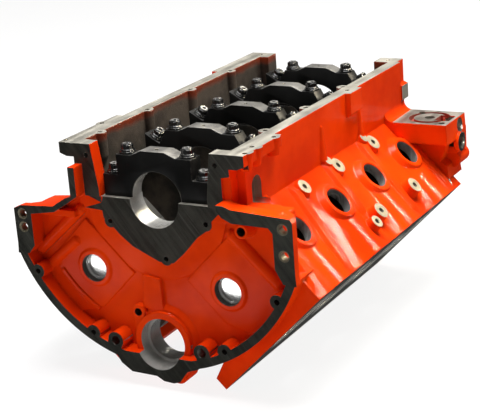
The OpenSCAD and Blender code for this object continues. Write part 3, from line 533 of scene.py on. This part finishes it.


# %% [markdown]
# ### Tapped holes
# A thread in a small hole is seen only as dark and bright bands: the shade in its roots and the
# light caught on its crests. A diagonal wave on the walls paints both into the colour, as painted
# shade and painted highlight, and real turns would cost many faces in each of the holes.

# %% Tapped and drilled holes
def tapped():
    finish, n, shader = new_finish("tapped_hole", Metallic=0.9)
    place = n.place()
    turns = n.add("TexWave", {"Vector": place, "Scale": 210.0, "Distortion": 0.0},
                  wave_type="BANDS", bands_direction="DIAGONAL").outputs["Fac"]
    # Dark roots and light crests: painted shade and painted highlight of the thread.
    colour = n.blend(turns, (0.012, 0.012, 0.011, 1), (0.42, 0.40, 0.36, 1))
    wire(n, shader, Base_Color=colour, Roughness=n.step(turns, 0.0, 1.0, 0.5, 0.22))
    rough_up(n, shader, turns, 0.0005)
    return finish


# %% [markdown]
# ### Thin old paint
# In the round groove of the filter pad neither the cutter nor the spray gun reaches the floor,
# so a thin, dull coat of dark red stays there.

# %% Thin old paint
def old_primer():
    finish, n, shader = new_finish("old_primer")
    place = n.place()
    skin = effect(n, CAST_SKIN, Place=place, Wave_Scale=60.0, Grain_Scale=700.0, Grain=0.5)
    colour = n.blend(n.step(skin["Tone"], 0.35, 0.65), (0.17, 0.012, 0.005, 1),
                     (0.32, 0.026, 0.008, 1))
    wire(n, shader, Base_Color=colour, Roughness=n.step(skin["Tone"], 0.3, 0.7, 0.4, 0.6))
    rough_up(n, shader, skin["Height"], 0.0006)
    return finish


# %% The finishes of the casting, by name
FLANGE_CUT, DECK_CUT = (0, math.radians(38), 0), (0, math.radians(45), 0)
FINISHES = {
    "paint": block_enamel(),
    "raw": raw_iron(),
    # The flange, shield and end faces are milled iron like the rails; their darker colours are
    # painted shade.
    "rear": milled("rear_face_painted_shade", (0.032, 0.032, 0.026), (0.068, 0.068, 0.056),
                   (0.30, 0.46), 0.7, across=FLANGE_CUT),
    "rail": milled("milled_rail", (0.20, 0.190, 0.163), (0.35, 0.335, 0.293), (0.36, 0.52), 0.55),
    # The decks look down at the floor; their dark colours are painted shade.
    "deck": milled("deck_painted_shade", (0.030, 0.029, 0.026), (0.11, 0.105, 0.095), (0.22, 0.36), 0.85,
                   across=DECK_CUT, scale=500.0),
    "bore": honed(),
    "seat": milled("spot_face", (0.155, 0.135, 0.085), (0.24, 0.21, 0.14), (0.38, 0.52), 0.35),
    "pad": milled("filter_pad", (0.085, 0.072, 0.060), (0.24, 0.215, 0.185), (0.34, 0.48), 0.4),
    "port": milled("core_hole", (0.10, 0.10, 0.095), (0.30, 0.295, 0.28), (0.26, 0.40), 0.45),
    "hole": tapped(),
    "primer": old_primer(),
}
print("finishes", sorted(FINISHES))

# %% [markdown]
# ## Which face gets which finish
# In the workshop the cutter decides what is bare: it takes one flat plane, or one round hole.
# So a face's finish can be told from where it lies and which way it looks. The values
# below repeat the block's own sizes in millimetres. A bank's faces are easier to tell in the
# bank's own directions: u runs out along the bore axis and s square to it, outwards.

# %% Sizes that the rules share
PITCH, CRANKCASE_R = 121.92, 112.0
FLANGE_Y, RAIL_Y, FRONT_WEB_Y, FRONT_Y = -23.0, -3.0, 519.18, 548.98
RAIL_Z, DECK_U, WALL_S = 72.0, 242.0, 86.6
FIRST_BORE, BORES_IN_A_BANK = {1: 68.46, -1: 91.46}, 4
CAM = (0.0, -196.0)
PLUG_U, PLUG_R = 154.5, 19.8
LEVEL = 0.99  # a face counts as level when its normal is this near to an axis


def near(values, target, gap=0.1):
    return abs(values - target) < gap


def between(values, low, high):
    return (values > low) & (values < high)


# %% Where each face lies and which way it looks
class Faces:
    """Places in millimetres and normals, in the block's and in the bank's directions."""

    def __init__(self, piece):
        self.middles, self.normals = faces_of(piece)
        self.x, self.y, self.z = self.middles.T
        self.n_x, self.n_y, self.n_z = self.normals.T
        side, root = np.where(self.x >= 0, 1, -1), math.sqrt(2)
        self.wide = abs(self.x)
        self.u, self.s = (self.wide - self.z) / root, (self.wide + self.z) / root
        self.n_u = (self.n_x * side - self.n_z) / root
        self.n_s = (self.n_x * side + self.n_z) / root
        self.first = np.where(self.x >= 0, FIRST_BORE[1], FIRST_BORE[-1])
        nearest = np.clip(np.round((self.y - self.first) / PITCH), 0, BORES_IN_A_BANK - 1)
        from_bore = self.y - self.first - nearest * PITCH
        self.r_bore = np.hypot(self.s, from_bore)
        self.r_plug = np.hypot(self.u - PLUG_U, from_bore)
        self.r_crank = np.hypot(self.x, self.z)
        self.r_cam = np.hypot(self.x - CAM[0], self.z - CAM[1])
        self.around_y = abs(self.n_y) < 0.5
        ends = [[piece.data.vertices[v].co.y / MM for v in face.vertices]
                for face in piece.data.polygons]
        self.back_end, self.front_end = np.array([(min(e), max(e)) for e in ends]).T


# %% [markdown]
# ### Walls left as cast
# The spray gun doesn't reach into the crankcase, the timing chamber, the water jackets and the
# valley. Each is a space with plain limits, so a face belongs to it when it lies inside them.
# Long faces that leave the timing chamber or the valley are told by their ends.

# %% Walls left as cast
CRANKCASE_Y = 16.9
CHAMBER_Y, CHAMBER_HALF, CHAMBER_Z = 526.9, 98.6, -231
JACKET_U, JACKET_S, JACKET_WALL, BANK_END = (119.4, 228.6), (-69.7, 80.2), 6.4, 70.0
VALLEY_S, VALLEY_Y, VALLEY_U = -75.8, 21.6, 215


def as_cast(f):
    crankcase = (f.y > CRANKCASE_Y) & (f.z < RAIL_Z - 0.05) & (
        (f.r_crank < CRANKCASE_R + 1) | ((f.wide < CRANKCASE_R + 1) & (f.z > -1)))
    chamber = (f.back_end > CHAMBER_Y) & (f.y < FRONT_Y - 0.05) & (
        f.wide < CHAMBER_HALF) & (f.z > CHAMBER_Z)
    back, front = f.first - BANK_END, f.first + (BORES_IN_A_BANK - 1) * PITCH + BANK_END
    jacket = between(f.u, *JACKET_U) & between(f.s, *JACKET_S) & between(
        f.y, back + JACKET_WALL, front - JACKET_WALL)
    valley = (f.s < VALLEY_S) & (f.y > VALLEY_Y) & (f.u < VALLEY_U) & (
        f.front_end < FRONT_WEB_Y + 0.1)
    return crankcase | chamber | jacket | valley


# %% [markdown]
# ### Flat cuts
# A milling cutter takes one plane at a time: the flange and the shield at the rear, the rails,
# the filter pad, the two decks, and the tops of the small bosses and plug rims on the banks.

# %% Flat cuts
SHIELD_R, PAD_Z, PAD_X = 100, -5.0, 130
BOSS_H, BOSS_U, RIM_H, RIM_R = 14, 180, 8, 34


def mark_flat_cuts(f, kind):
    to_rear, upward, outward = f.n_y < -LEVEL, f.n_z > LEVEL, f.n_s > LEVEL
    kind[(f.y < FLANGE_Y + 0.1) & to_rear] = "rear"
    kind[near(f.y, 0) & to_rear & (f.r_crank < SHIELD_R)] = "rear"
    kind[near(f.y, RAIL_Y) & to_rear & (f.z > -1)] = "rear"
    kind[(f.y > FRONT_Y - 0.1) & (abs(f.n_y) > LEVEL)] = "rear"
    kind[upward & (f.z > RAIL_Z - 0.1)] = "rail"
    kind[upward & near(f.z, 0) & (f.wide < CRANKCASE_R)] = "rail"
    kind[upward & near(f.z, PAD_Z) & (f.x > PAD_X)] = "pad"
    kind[(f.u > DECK_U - 0.1) & (f.n_u > LEVEL)] = "deck"
    kind[outward & near(f.s, WALL_S + BOSS_H) & (f.u > BOSS_U)] = "seat"
    kind[outward & near(f.s, WALL_S + RIM_H) & (f.r_plug > RIM_R)] = "seat"


# %% [markdown]
# ### Drilled and tapped holes
# A hole is narrow: a ray that leaves one wall soon meets the other, which looks back at it.
# That finds all the bolt holes at once. The larger openings are told by their own centres.

# %% Drilled and tapped holes
HOLE_GAP, LOOKS_BACK = 14.5, -0.96
PAD, GROOVE_R, GROOVE_Z, PAD_HOLE_R = (188.0, 495.98), 32.5, -14.5, 9
PORT_S = 76
REAR_PLUGS, REAR_PLUG_R, REAR_PLUG_Y = [(103.4, -113.0), (-103.4, -103.0)], 19.9, 20
PAD_PORTS, PAD_PORT_X = [(511.98, -18.5, 11.5), (505.98, -42.0, 10.0)], 202.9


def narrow(piece, f):
    """True for a face that looks straight at another one close by, as in a bolt hole."""
    mesh = bmesh.new()
    mesh.from_mesh(piece.data)
    tree = BVHTree.FromBMesh(mesh)
    found = np.zeros(len(f.middles), bool)
    for i, (middle, normal) in enumerate(zip(f.middles * MM, f.normals)):
        start = Vector(middle) + Vector(normal) * 1e-4
        place, other, *_ = tree.ray_cast(start, Vector(normal), HOLE_GAP * MM)
        found[i] = place is not None and other.dot(Vector(normal)) < LOOKS_BACK
    mesh.free()
    return found


def mark_holes(f, kind, holes):
    r_pad = np.hypot(f.x - PAD[0], f.y - PAD[1])
    groove = (r_pad < GROOVE_R) & (f.z > GROOVE_Z) & (f.x > PAD_X)
    kind[holes & ~groove & (f.y < FRONT_Y)] = "hole"
    kind[(f.r_plug < PLUG_R + 0.2) & (f.s > PORT_S) & (abs(f.n_s) < 0.5)] = "port"
    for plug_x, plug_z in REAR_PLUGS:
        r_rear = np.hypot(f.x - plug_x, f.z - plug_z)
        kind[(r_rear < REAR_PLUG_R) & (f.y < REAR_PLUG_Y) & f.around_y] = "hole"
    for port_y, port_z, port_r in PAD_PORTS:
        r_port = np.hypot(f.y - port_y, f.z - port_z)
        kind[(f.x > PAD_PORT_X) & (r_port < port_r + 0.2) & (abs(f.n_x) < 0.5)] = "hole"
    mark_side_cuts(f, kind)
    kind[groove & ((f.n_z < LEVEL) | (f.z < PAD_Z - 1))] = "primer"
    kind[(r_pad < PAD_HOLE_R) & (f.x > PAD_X) & (f.z < PAD_Z - 1)] = "hole"


# %% Small cuts on the right-hand side: the pad's end, the skirt's end and the notch behind it
PAD_END_X, PAD_END_Z = 234.5, -60
SKIRT_X, SKIRT_END_Y, SKIRT_END_Z = 132, 524, 8
NOTCH_X, NOTCH_Y, NOTCH_HALF, NOTCH_Z = (111.9, 130.1), 44.5, 12.6, (-10.2, 33.2)


def mark_side_cuts(f, kind):
    kind[(f.x > PAD_END_X) & (f.n_x > LEVEL) & (f.z > PAD_END_Z)] = "deck"
    kind[near(f.x, SKIRT_X, 0.5) & (f.y > SKIRT_END_Y) & (f.n_x > 0.9)
         & (f.z > SKIRT_END_Z)] = "rail"
    kind[between(f.x, *NOTCH_X) & near(f.y, NOTCH_Y, NOTCH_HALF) & between(f.z, *NOTCH_Z)
         & (abs(f.n_x) < 0.3)] = "rail"


# %% [markdown]
# ### Bores
# The crankshaft, camshaft, cylinder and lifter bores are round and finely worked. A face of a
# bore lies within the bore's radius of its axis. The edge of the crankshaft's bore is broken,
# so its faces lean, and so do those of the flange's outer edge, which the cutter left bare.

# %% Bores
CRANK_BORE_R, CRANK_EDGE_R, CAM_BORE_R, CAM_EDGE_Y = 38.0, 39.2, 34.3, 7
CYLINDER_R, CYLINDER_U = 56.6, 99
LIFTER_X, LIFTER_HALF, LIFTER_Z = 52, 12, (-205, -170)
FLANGE_EDGE = 1.6
CORNER_HOLE_X, CORNER_HOLE_Z, CORNER_HOLE_DEPTH = (188, 211), -60, 25


def mark_bores(f, kind, holes):
    kind[(f.r_crank < CRANK_BORE_R) & f.around_y] = "bore"
    kind[(f.r_crank < CRANK_EDGE_R) & between(abs(f.n_y), 0.3, 0.95)] = "bore"
    kind[(f.r_cam < CAM_BORE_R) & (f.around_y | (f.y < CAM_EDGE_Y))] = "bore"
    kind[(f.r_bore < CYLINDER_R) & (f.u > CYLINDER_U) & (abs(f.n_u) < 0.8)] = "bore"
    kind[near(f.wide, LIFTER_X, LIFTER_HALF) & between(f.z, *LIFTER_Z) & holes] = "bore"
    kind[(f.y < FLANGE_Y + FLANGE_EDGE) & between(f.n_y, -0.95, -0.2)] = "seat"
    kind[holes & between(f.wide, *CORNER_HOLE_X) & (f.z > CORNER_HOLE_Z)
         & (f.y < FLANGE_Y + CORNER_HOLE_DEPTH)] = "seat"


# %% [markdown]
# ### Dressing the casting
# The marks are put on in the order of the work: paint first, then the cuts over it. A later
# mark wins, as a later cut does. Each finish then gets a slot, and each face its slot.

# %% Dressing the casting
def sort_casting(piece):
    f = Faces(piece)
    kind = np.full(len(f.x), "paint", dtype="<U6")
    kind[as_cast(f)] = "raw"
    mark_flat_cuts(f, kind)
    holes = narrow(piece, f) & (kind != "deck")
    mark_holes(f, kind, holes)
    mark_bores(f, kind, holes)
    return kind


def wear(piece, kinds):
    """Puts the finishes in the piece's slots, and each face on its own."""
    used = [k for k in FINISHES if (kinds == k).any()]
    for k in used:
        piece.data.materials.append(FINISHES[k])
    slots = np.zeros(len(kinds), np.int32)
    for i, k in enumerate(used):
        slots[kinds == k] = i
    piece.data.polygons.foreach_set("material_index", slots)
    return {k: int((kinds == k).sum()) for k in used}


SMOOTH_BELOW = math.radians(24)
casting = copy_of("block_casting", "dressed_casting")
kinds = sort_casting(casting)
print("casting faces", len(kinds), wear(casting, kinds))
select_only(casting)
bpy.ops.object.shade_smooth_by_angle(angle=SMOOTH_BELOW)
stand_in(casting, "block_casting")

# %% [markdown]
# ## Black caps, with a machined crown
# A main cap clamps the crankshaft. It was blackened in a hot salt bath, which leaves a satin
# black skin, and its crown was milled flat afterwards. The CAD cap has the right shape but
# perfectly sharp corners, and no real corner is. We copy its mesh, merge the flat triangles
# into whole faces with a limited dissolve, and let a Bevel modifier break the corners. The
# thin band of light on each corner is what makes steel look like steel.

# %% Black finishes
BARE_STEEL = (0.55, 0.53, 0.48, 1)


def black_skin(name, dark, light, shine, gloss, sparkle):
    """sparkle is how much bare steel shows on the edges, from 0 to 1."""
    finish, n, shader = new_finish(name, Specular_IOR_Level=gloss)
    place = n.place()
    skin = effect(n, CAST_SKIN, Place=place, Wave_Scale=90.0, Grain_Scale=1500.0, Grain=0.6)
    edges = effect(n, BRIGHT_EDGES, Reach=0.0007)
    face = n.blend(n.step(skin["Tone"], 0.35, 0.65), (*dark, 1), (*light, 1))
    worn = n.math("MULTIPLY", edges["Mask"], n.step(n.noise(place, 160.0, 3.0), 0.42, 0.66))
    colour = n.blend(n.math("MULTIPLY", worn, sparkle), face, BARE_STEEL)
    wire(n, shader, Base_Color=colour, Roughness=n.step(skin["Tone"], 0.3, 0.7, *shine))
    rough_up(n, shader, skin["Height"], 0.00012, edges["Normal"])
    return finish


FINISHES["cap"] = black_skin("black_cap", (0.0035, 0.0036, 0.0035), (0.009, 0.009, 0.0085),
                             (0.30, 0.44), 0.15, 0.35)
FINISHES["crown"] = milled("cap_crown", (0.12, 0.117, 0.11), (0.175, 0.171, 0.16), (0.34, 0.48),
                           0.55, scale=1100.0)
print("finishes of the caps", [FINISHES[k].name for k in ("cap", "crown")])

# %% A copied node with its corners broken
FLAT_ANGLE, CORNER_ANGLE, SMOOTH_ANGLE = (math.radians(a) for a in (1.0, 32, 35))


def break_corners(piece, width, segments, angle):
    """Rounds every corner sharper than the angle."""
    bevel = piece.modifiers.new("broken corners", "BEVEL")
    bevel.width, bevel.segments = width * MM, segments
    bevel.limit_method, bevel.angle_limit = "ANGLE", angle
    bpy.ops.object.modifier_apply(modifier=bevel.name)


def softened(node, name, width, segments=2):
    """A copy of a CAD node with flat faces made whole, and corners rounded by width."""
    piece = copy_of(node, name)
    bpy.ops.object.mode_set(mode="EDIT")
    bpy.ops.mesh.select_all(action="SELECT")
    bpy.ops.mesh.dissolve_limited(angle_limit=FLAT_ANGLE)
    bpy.ops.object.mode_set(mode="OBJECT")
    break_corners(piece, width, segments, CORNER_ANGLE)
    bpy.ops.object.shade_smooth_by_angle(angle=SMOOTH_ANGLE)
    return piece


# %% Main caps
CAPS = 5
CAP_TOP, CAP_SEAT, CROWN_HALF, CAP_BORE_R = 65.0, 58.0, 34.4, 37.35
OIL_HOLE_R, OIL_HOLE_LOW, CAP_CORNER = 2.6, 54, 0.9


def dress_cap(k):
    """Softens a cap, marks its crown, its half of the bore and its oil hole, and fits it."""
    cap = softened(f"main_cap_{k}", f"black_cap_{k}", CAP_CORNER)
    middles, normals = faces_of(cap)
    x, _, z = middles.T
    _, n_y, n_z = normals.T
    kind = np.full(len(x), "cap", dtype="<U6")
    kind[(abs(x) < CROWN_HALF) & (z > CAP_SEAT + 0.05) & (n_z > 0.55)] = "crown"
    kind[(np.hypot(x, z) < CAP_BORE_R + 0.2) & (abs(n_y) < 0.5)] = "bore"
    kind[(abs(x) < OIL_HOLE_R) & between(z, OIL_HOLE_LOW, CAP_TOP - CAP_CORNER)] = "hole"
    found = wear(cap, kind)
    stand_in(cap, f"main_cap_{k}")
    return found


for k in range(1, CAPS + 1):
    print("main cap", k, dress_cap(k))

# %% [markdown]
# ## Studs, washers and nuts
# Each cap is held by four studs. A stud's shank is plain, its end is threaded and has a hex
# socket for the key that drives it in. Such a part is turned on a lathe, so we build it ring
# by ring: one round face is extruded upwards again and again, and widened or narrowed each
# time. The patterns are made once, upright at the origin, and copied to their seats. A stud's
# flat end face gets a light steel colour, a painted highlight for the light on its top.

# %% Helpers for modelling by hand
def start_disc(name, radius, low=0.0, sides=24):
    """A round face at this height, open for editing with all its points chosen."""
    bpy.ops.object.select_all(action="DESELECT")
    bpy.ops.mesh.primitive_circle_add(vertices=sides, radius=radius * MM,
                                      location=(0, 0, low * MM), fill_type="NGON")
    bpy.ops.object.transform_apply(location=True)
    bpy.context.object.name = name
    bpy.ops.object.mode_set(mode="EDIT")
    bpy.ops.mesh.select_mode(type="VERT")
    bpy.ops.mesh.select_all(action="SELECT")
    return bpy.context.object


def pick(test):
    """Selects the points that pass the test, and only those."""
    bpy.ops.mesh.select_all(action="DESELECT")
    mesh = bmesh.from_edit_mesh(bpy.context.object.data)
    for vert in mesh.verts:
        vert.select = bool(test(vert.co / MM))
    mesh.select_flush(True)
    bmesh.update_edit_mesh(bpy.context.object.data)


def widen(scale):
    """Scales what is chosen about the upright axis."""
    bpy.ops.transform.resize(value=(scale, scale, 1), center_override=(0, 0, 0))


def lift(up, scale=1.0):
    """Extrudes the chosen face by so many millimetres, then narrows or widens it."""
    bpy.ops.mesh.extrude_region_move(TRANSFORM_OT_translate={"value": (0, 0, up * MM)})
    if scale != 1.0:
        widen(scale)


def turn_rings(radius, rings):
    """Extrudes ring after ring, each given as its rise and its new radius."""
    for up, new_radius in rings:
        lift(up, new_radius / radius)
        radius = new_radius


def join_open_ends(share):
    """Opens both ends, narrows the lower one to this share, and joins them by a wall."""
    bpy.ops.mesh.delete(type="ONLY_FACE")
    pick(lambda p: p.z < 0.01)
    lift(0, share)
    bpy.ops.mesh.delete(type="ONLY_FACE")
    bpy.ops.mesh.select_all(action="DESELECT")
    bpy.ops.mesh.select_non_manifold()
    bpy.ops.mesh.bridge_edge_loops()


def end_edit(piece, bevel=0.0):
    """Turns the faces outwards, leaves edit mode and smooths the round ones."""
    bpy.ops.mesh.select_all(action="SELECT")
    bpy.ops.mesh.normals_make_consistent(inside=False)
    bpy.ops.object.mode_set(mode="OBJECT")
    if bevel:
        break_corners(piece, bevel, 2, math.radians(28))
    bpy.ops.object.shade_smooth_by_angle(angle=math.radians(32))
    return piece


# %% Finishes and sizes of the fasteners
FINISHES["steel"] = black_skin("black_steel", (0.004, 0.004, 0.004), (0.016, 0.016, 0.015),
                               (0.04, 0.10), 0.60, 0.9)
# Light steel for the studs' flat ends: a painted highlight for the light on their tops.
FINISHES["bare"] = milled("stud_end_painted_highlight", (0.13, 0.128, 0.122), (0.48, 0.47, 0.45),
                          (0.20, 0.34), 0.7, scale=1500.0)
SEATS = {"inner": (46.0, 58.0, 0), "outer": (76.0, 44.0, -30), "rear": (68.5, 30.0, 0)}
STUD_R, STUD_DEPTH, STUD_TIP, STUD_CHAMFER = 6.35, 40.0, 1.5, 1.0
THREAD_R, ROOT_R, END_R, SOCKET_R, SOCKET_DEPTH = 6.3, 5.75, 5.9, 3.4, 3
END_H = 6.9  # the chamfer under the shank and the threaded end over it
WASHER_T, WASHER_R, WASHER_HOLE_R, WASHER_CORNER = 2.6, 11.0, 6.85, 0.4
NUT_H, NUT_FLANGE_R, NUT_FLANGE_T, NUT_POINT_R, NUT_HOLE_R = 8.5, 10.0, 2.5, 8.5, 6.4


# %% A stud with its threaded end and hex socket
def stud_pattern(seat_height):
    """A stud with its nut seat in the origin's plane, so far above the block."""
    stud = start_disc("stud_pattern", STUD_R - STUD_CHAMFER, -seat_height - STUD_DEPTH)
    top = WASHER_T + NUT_H + STUD_TIP
    turn = [(0.40, ROOT_R), (0.20, ROOT_R), (0.40, THREAD_R), (0.20, THREAD_R)]
    turn_rings(STUD_R - STUD_CHAMFER,
               [(STUD_CHAMFER, STUD_R), (seat_height + STUD_DEPTH + top - END_H, STUD_R),
                (0.3, THREAD_R)] + turn * 4 + [(0.8, END_R), (0, SOCKET_R + 0.5)])
    bpy.ops.mesh.delete(type="ONLY_FACE")
    bpy.ops.mesh.primitive_circle_add(vertices=6, radius=SOCKET_R * MM,
                                      location=(0, 0, top * MM))
    pick(lambda p: p.z > top - 0.05 and p.xy.length < SOCKET_R + 0.6)
    bpy.ops.mesh.bridge_edge_loops()
    pick(lambda p: p.z > top - 0.05 and p.xy.length < SOCKET_R + 0.1)
    lift(-SOCKET_DEPTH)
    bpy.ops.mesh.edge_face_add()
    end_edit(stud)
    # The flat end face takes the second slot, the light steel of a painted highlight.
    for face in stud.data.polygons:
        if face.normal.z > 0.9 and face.center.z > (top - 0.1) * MM:
            face.material_index = 1
    return stud


STUDS = {seat: stud_pattern(height / math.cos(math.radians(lean)))
         for seat, (_, height, lean) in SEATS.items()}
print("studs", {seat: (len(p.data.polygons), round(p.dimensions.z / MM, 2))
                for seat, p in STUDS.items()})

# %% [markdown]
# ## The twelve-point outline
# A twelve-point nut has a round flange below, and a wrench part whose outline is two hexagons
# turned 30 degrees to each other. We get that outline from a circle of 24 points by shrinking
# every second one. The last extrusions are narrowed for the chamfered crown and the mouth of
# the hole. The mouth and the open face below are then bridged, which makes the hole's wall.

# %% The nut
FLANGE_RIM, FLANGE_NECK_R, CROWN_CHAMFER = 1.0, 9.1, 0.5
NOTCH_SHARE = math.cos(math.radians(30)) / math.cos(math.radians(15))
CROWN_SHARE, MOUTH_SHARE, BEVEL_SHARE, BEVEL_H = 0.96, 0.87, 0.97, 0.4


def nut_pattern():
    """A flanged nut standing on the origin's plane."""
    nut = start_disc("nut_pattern", NUT_FLANGE_R)
    turn_rings(NUT_FLANGE_R, [(FLANGE_RIM, NUT_FLANGE_R),
                              (NUT_FLANGE_T - FLANGE_RIM, FLANGE_NECK_R), (0, NUT_POINT_R)])

    def on_top(p):
        return p.z > NUT_FLANGE_T - 0.01 and p.xy.length < NUT_POINT_R + 0.05

    pick(lambda p: on_top(p) and round(math.degrees(math.atan2(p.y, p.x)) / 15) % 2 == 1)
    widen(NOTCH_SHARE)
    pick(on_top)
    lift(NUT_H - NUT_FLANGE_T - CROWN_CHAMFER)
    lift(CROWN_CHAMFER, CROWN_SHARE)
    lift(0, MOUTH_SHARE)
    bpy.ops.transform.tosphere(value=1.0)  # the twelve points become the round mouth
    lift(-BEVEL_H, BEVEL_SHARE)
    join_open_ends(NUT_HOLE_R / NUT_FLANGE_R)
    return end_edit(nut, 0.25)


NUT = nut_pattern()
print("nut", len(NUT.data.polygons), [round(v / MM, 2) for v in NUT.dimensions])

# %% [markdown]
# ## The washer
# A hard washer is turned too, with both rims of its edge broken and a small bevel round the
# top of its hole. It has more sides than the nut, because its plain round edge shows them more.

# %% The washer
FACE_R, HOLE_BEVEL = WASHER_R - WASHER_CORNER, 0.25


def washer_pattern():
    washer = start_disc("washer_pattern", FACE_R, 0.0, 40)
    turn_rings(FACE_R, [(WASHER_CORNER, WASHER_R), (WASHER_T - 2 * WASHER_CORNER, WASHER_R),
                        (WASHER_CORNER, FACE_R), (0, WASHER_HOLE_R + HOLE_BEVEL),
                        (-HOLE_BEVEL, WASHER_HOLE_R)])
    join_open_ends(WASHER_HOLE_R / FACE_R)
    return end_edit(washer)


WASHER = washer_pattern()
print("washer", len(WASHER.data.polygons), round(WASHER.dimensions.z / MM, 2))

# %% [markdown]
# ## Fitting the fasteners
# The nut seats lie on the caps: the inner ones level, the outer ones leaning 30 degrees
# inwards, except on the rear cap, where all four stand upright. Each copy gets its own mesh,
# a turn of its own about the stud, as a wrench leaves it, and then its place in its mesh.

# %% Copies at the seats
REAR_CAP_Y = 19.0
turns = random.Random(5)


def seat_name(k, row):
    return "rear" if (k, row) == (CAPS, "outer") else row


def fit_pair(pattern, k, row, kind, raised=0.0):
    """Two copies of a pattern on the left and right seats, joined to one piece."""
    across, height, lean = SEATS[seat_name(k, row)]
    pair = []
    for side in (-1, 1):
        place = Vector((side * across, REAR_CAP_Y + (CAPS - k) * PITCH, height)) * MM
        twin = bpy.data.objects.new("twin", pattern.data.copy())
        bpy.context.scene.collection.objects.link(twin)
        twin.data.materials.append(FINISHES["steel"])
        if kind == "studs":
            twin.data.materials.append(FINISHES["bare"])
        twin.matrix_world = (Matrix.Translation(place)
                             @ Matrix.Rotation(math.radians(lean * side), 4, "Y")
                             @ Matrix.Translation((0, 0, raised * MM))
                             @ Matrix.Rotation(turns.uniform(0, 6.28), 4, "Z"))
        pair.append(twin)
    select_only(*pair)
    bpy.ops.object.transform_apply(location=True, rotation=True, scale=True)
    bpy.ops.object.join()
    piece = bpy.context.object
    piece.name = f"{row}_{kind}_of_cap_{k}"
    stand_in(piece, f"{row}_{kind}_{k}")


for k in range(1, CAPS + 1):
    for row in ("inner", "outer"):
        fit_pair(STUDS[seat_name(k, row)], k, row, "studs")
        fit_pair(WASHER, k, row, "washers")
        fit_pair(NUT, k, row, "nuts", WASHER_T)
for pattern in (*STUDS.values(), NUT, WASHER):
    bpy.data.objects.remove(pattern)

# %% [markdown]
# ## Core plugs
# Casting leaves round openings into the water jacket, which are closed with pressed cups of
# zinc-plated steel. From the camera their floors mirror the two white cards. We soften
# the edges of the CAD cups, because a pressed cup has no sharp corner.

# %% Core plugs
def plug_zinc():
    finish, n, shader = new_finish("plug_zinc", Metallic=0.85)
    place = n.place()
    skin = effect(n, CAST_SKIN, Place=place, Wave_Scale=120.0, Grain_Scale=1400.0, Grain=0.4)
    edges = effect(n, BRIGHT_EDGES, Reach=0.001)
    face = n.blend(n.step(skin["Tone"], 0.35, 0.65), (0.90, 0.90, 0.88, 1),
                   (0.97, 0.97, 0.96, 1))
    wire(n, shader, Base_Color=face, Roughness=n.step(skin["Tone"], 0.3, 0.7, 0.08, 0.15))
    rough_up(n, shader, skin["Height"], 0.00008, edges["Normal"])
    return finish


FINISHES["zinc"] = plug_zinc()
for side in ("left", "right"):
    cup = softened(f"rear_core_plug_{side}", f"core_cup_{side}", 0.8, 3)
    cup.data.materials.append(FINISHES["zinc"])
    stand_in(cup, f"rear_core_plug_{side}")
    print("core cup", side, len(cup.data.polygons))
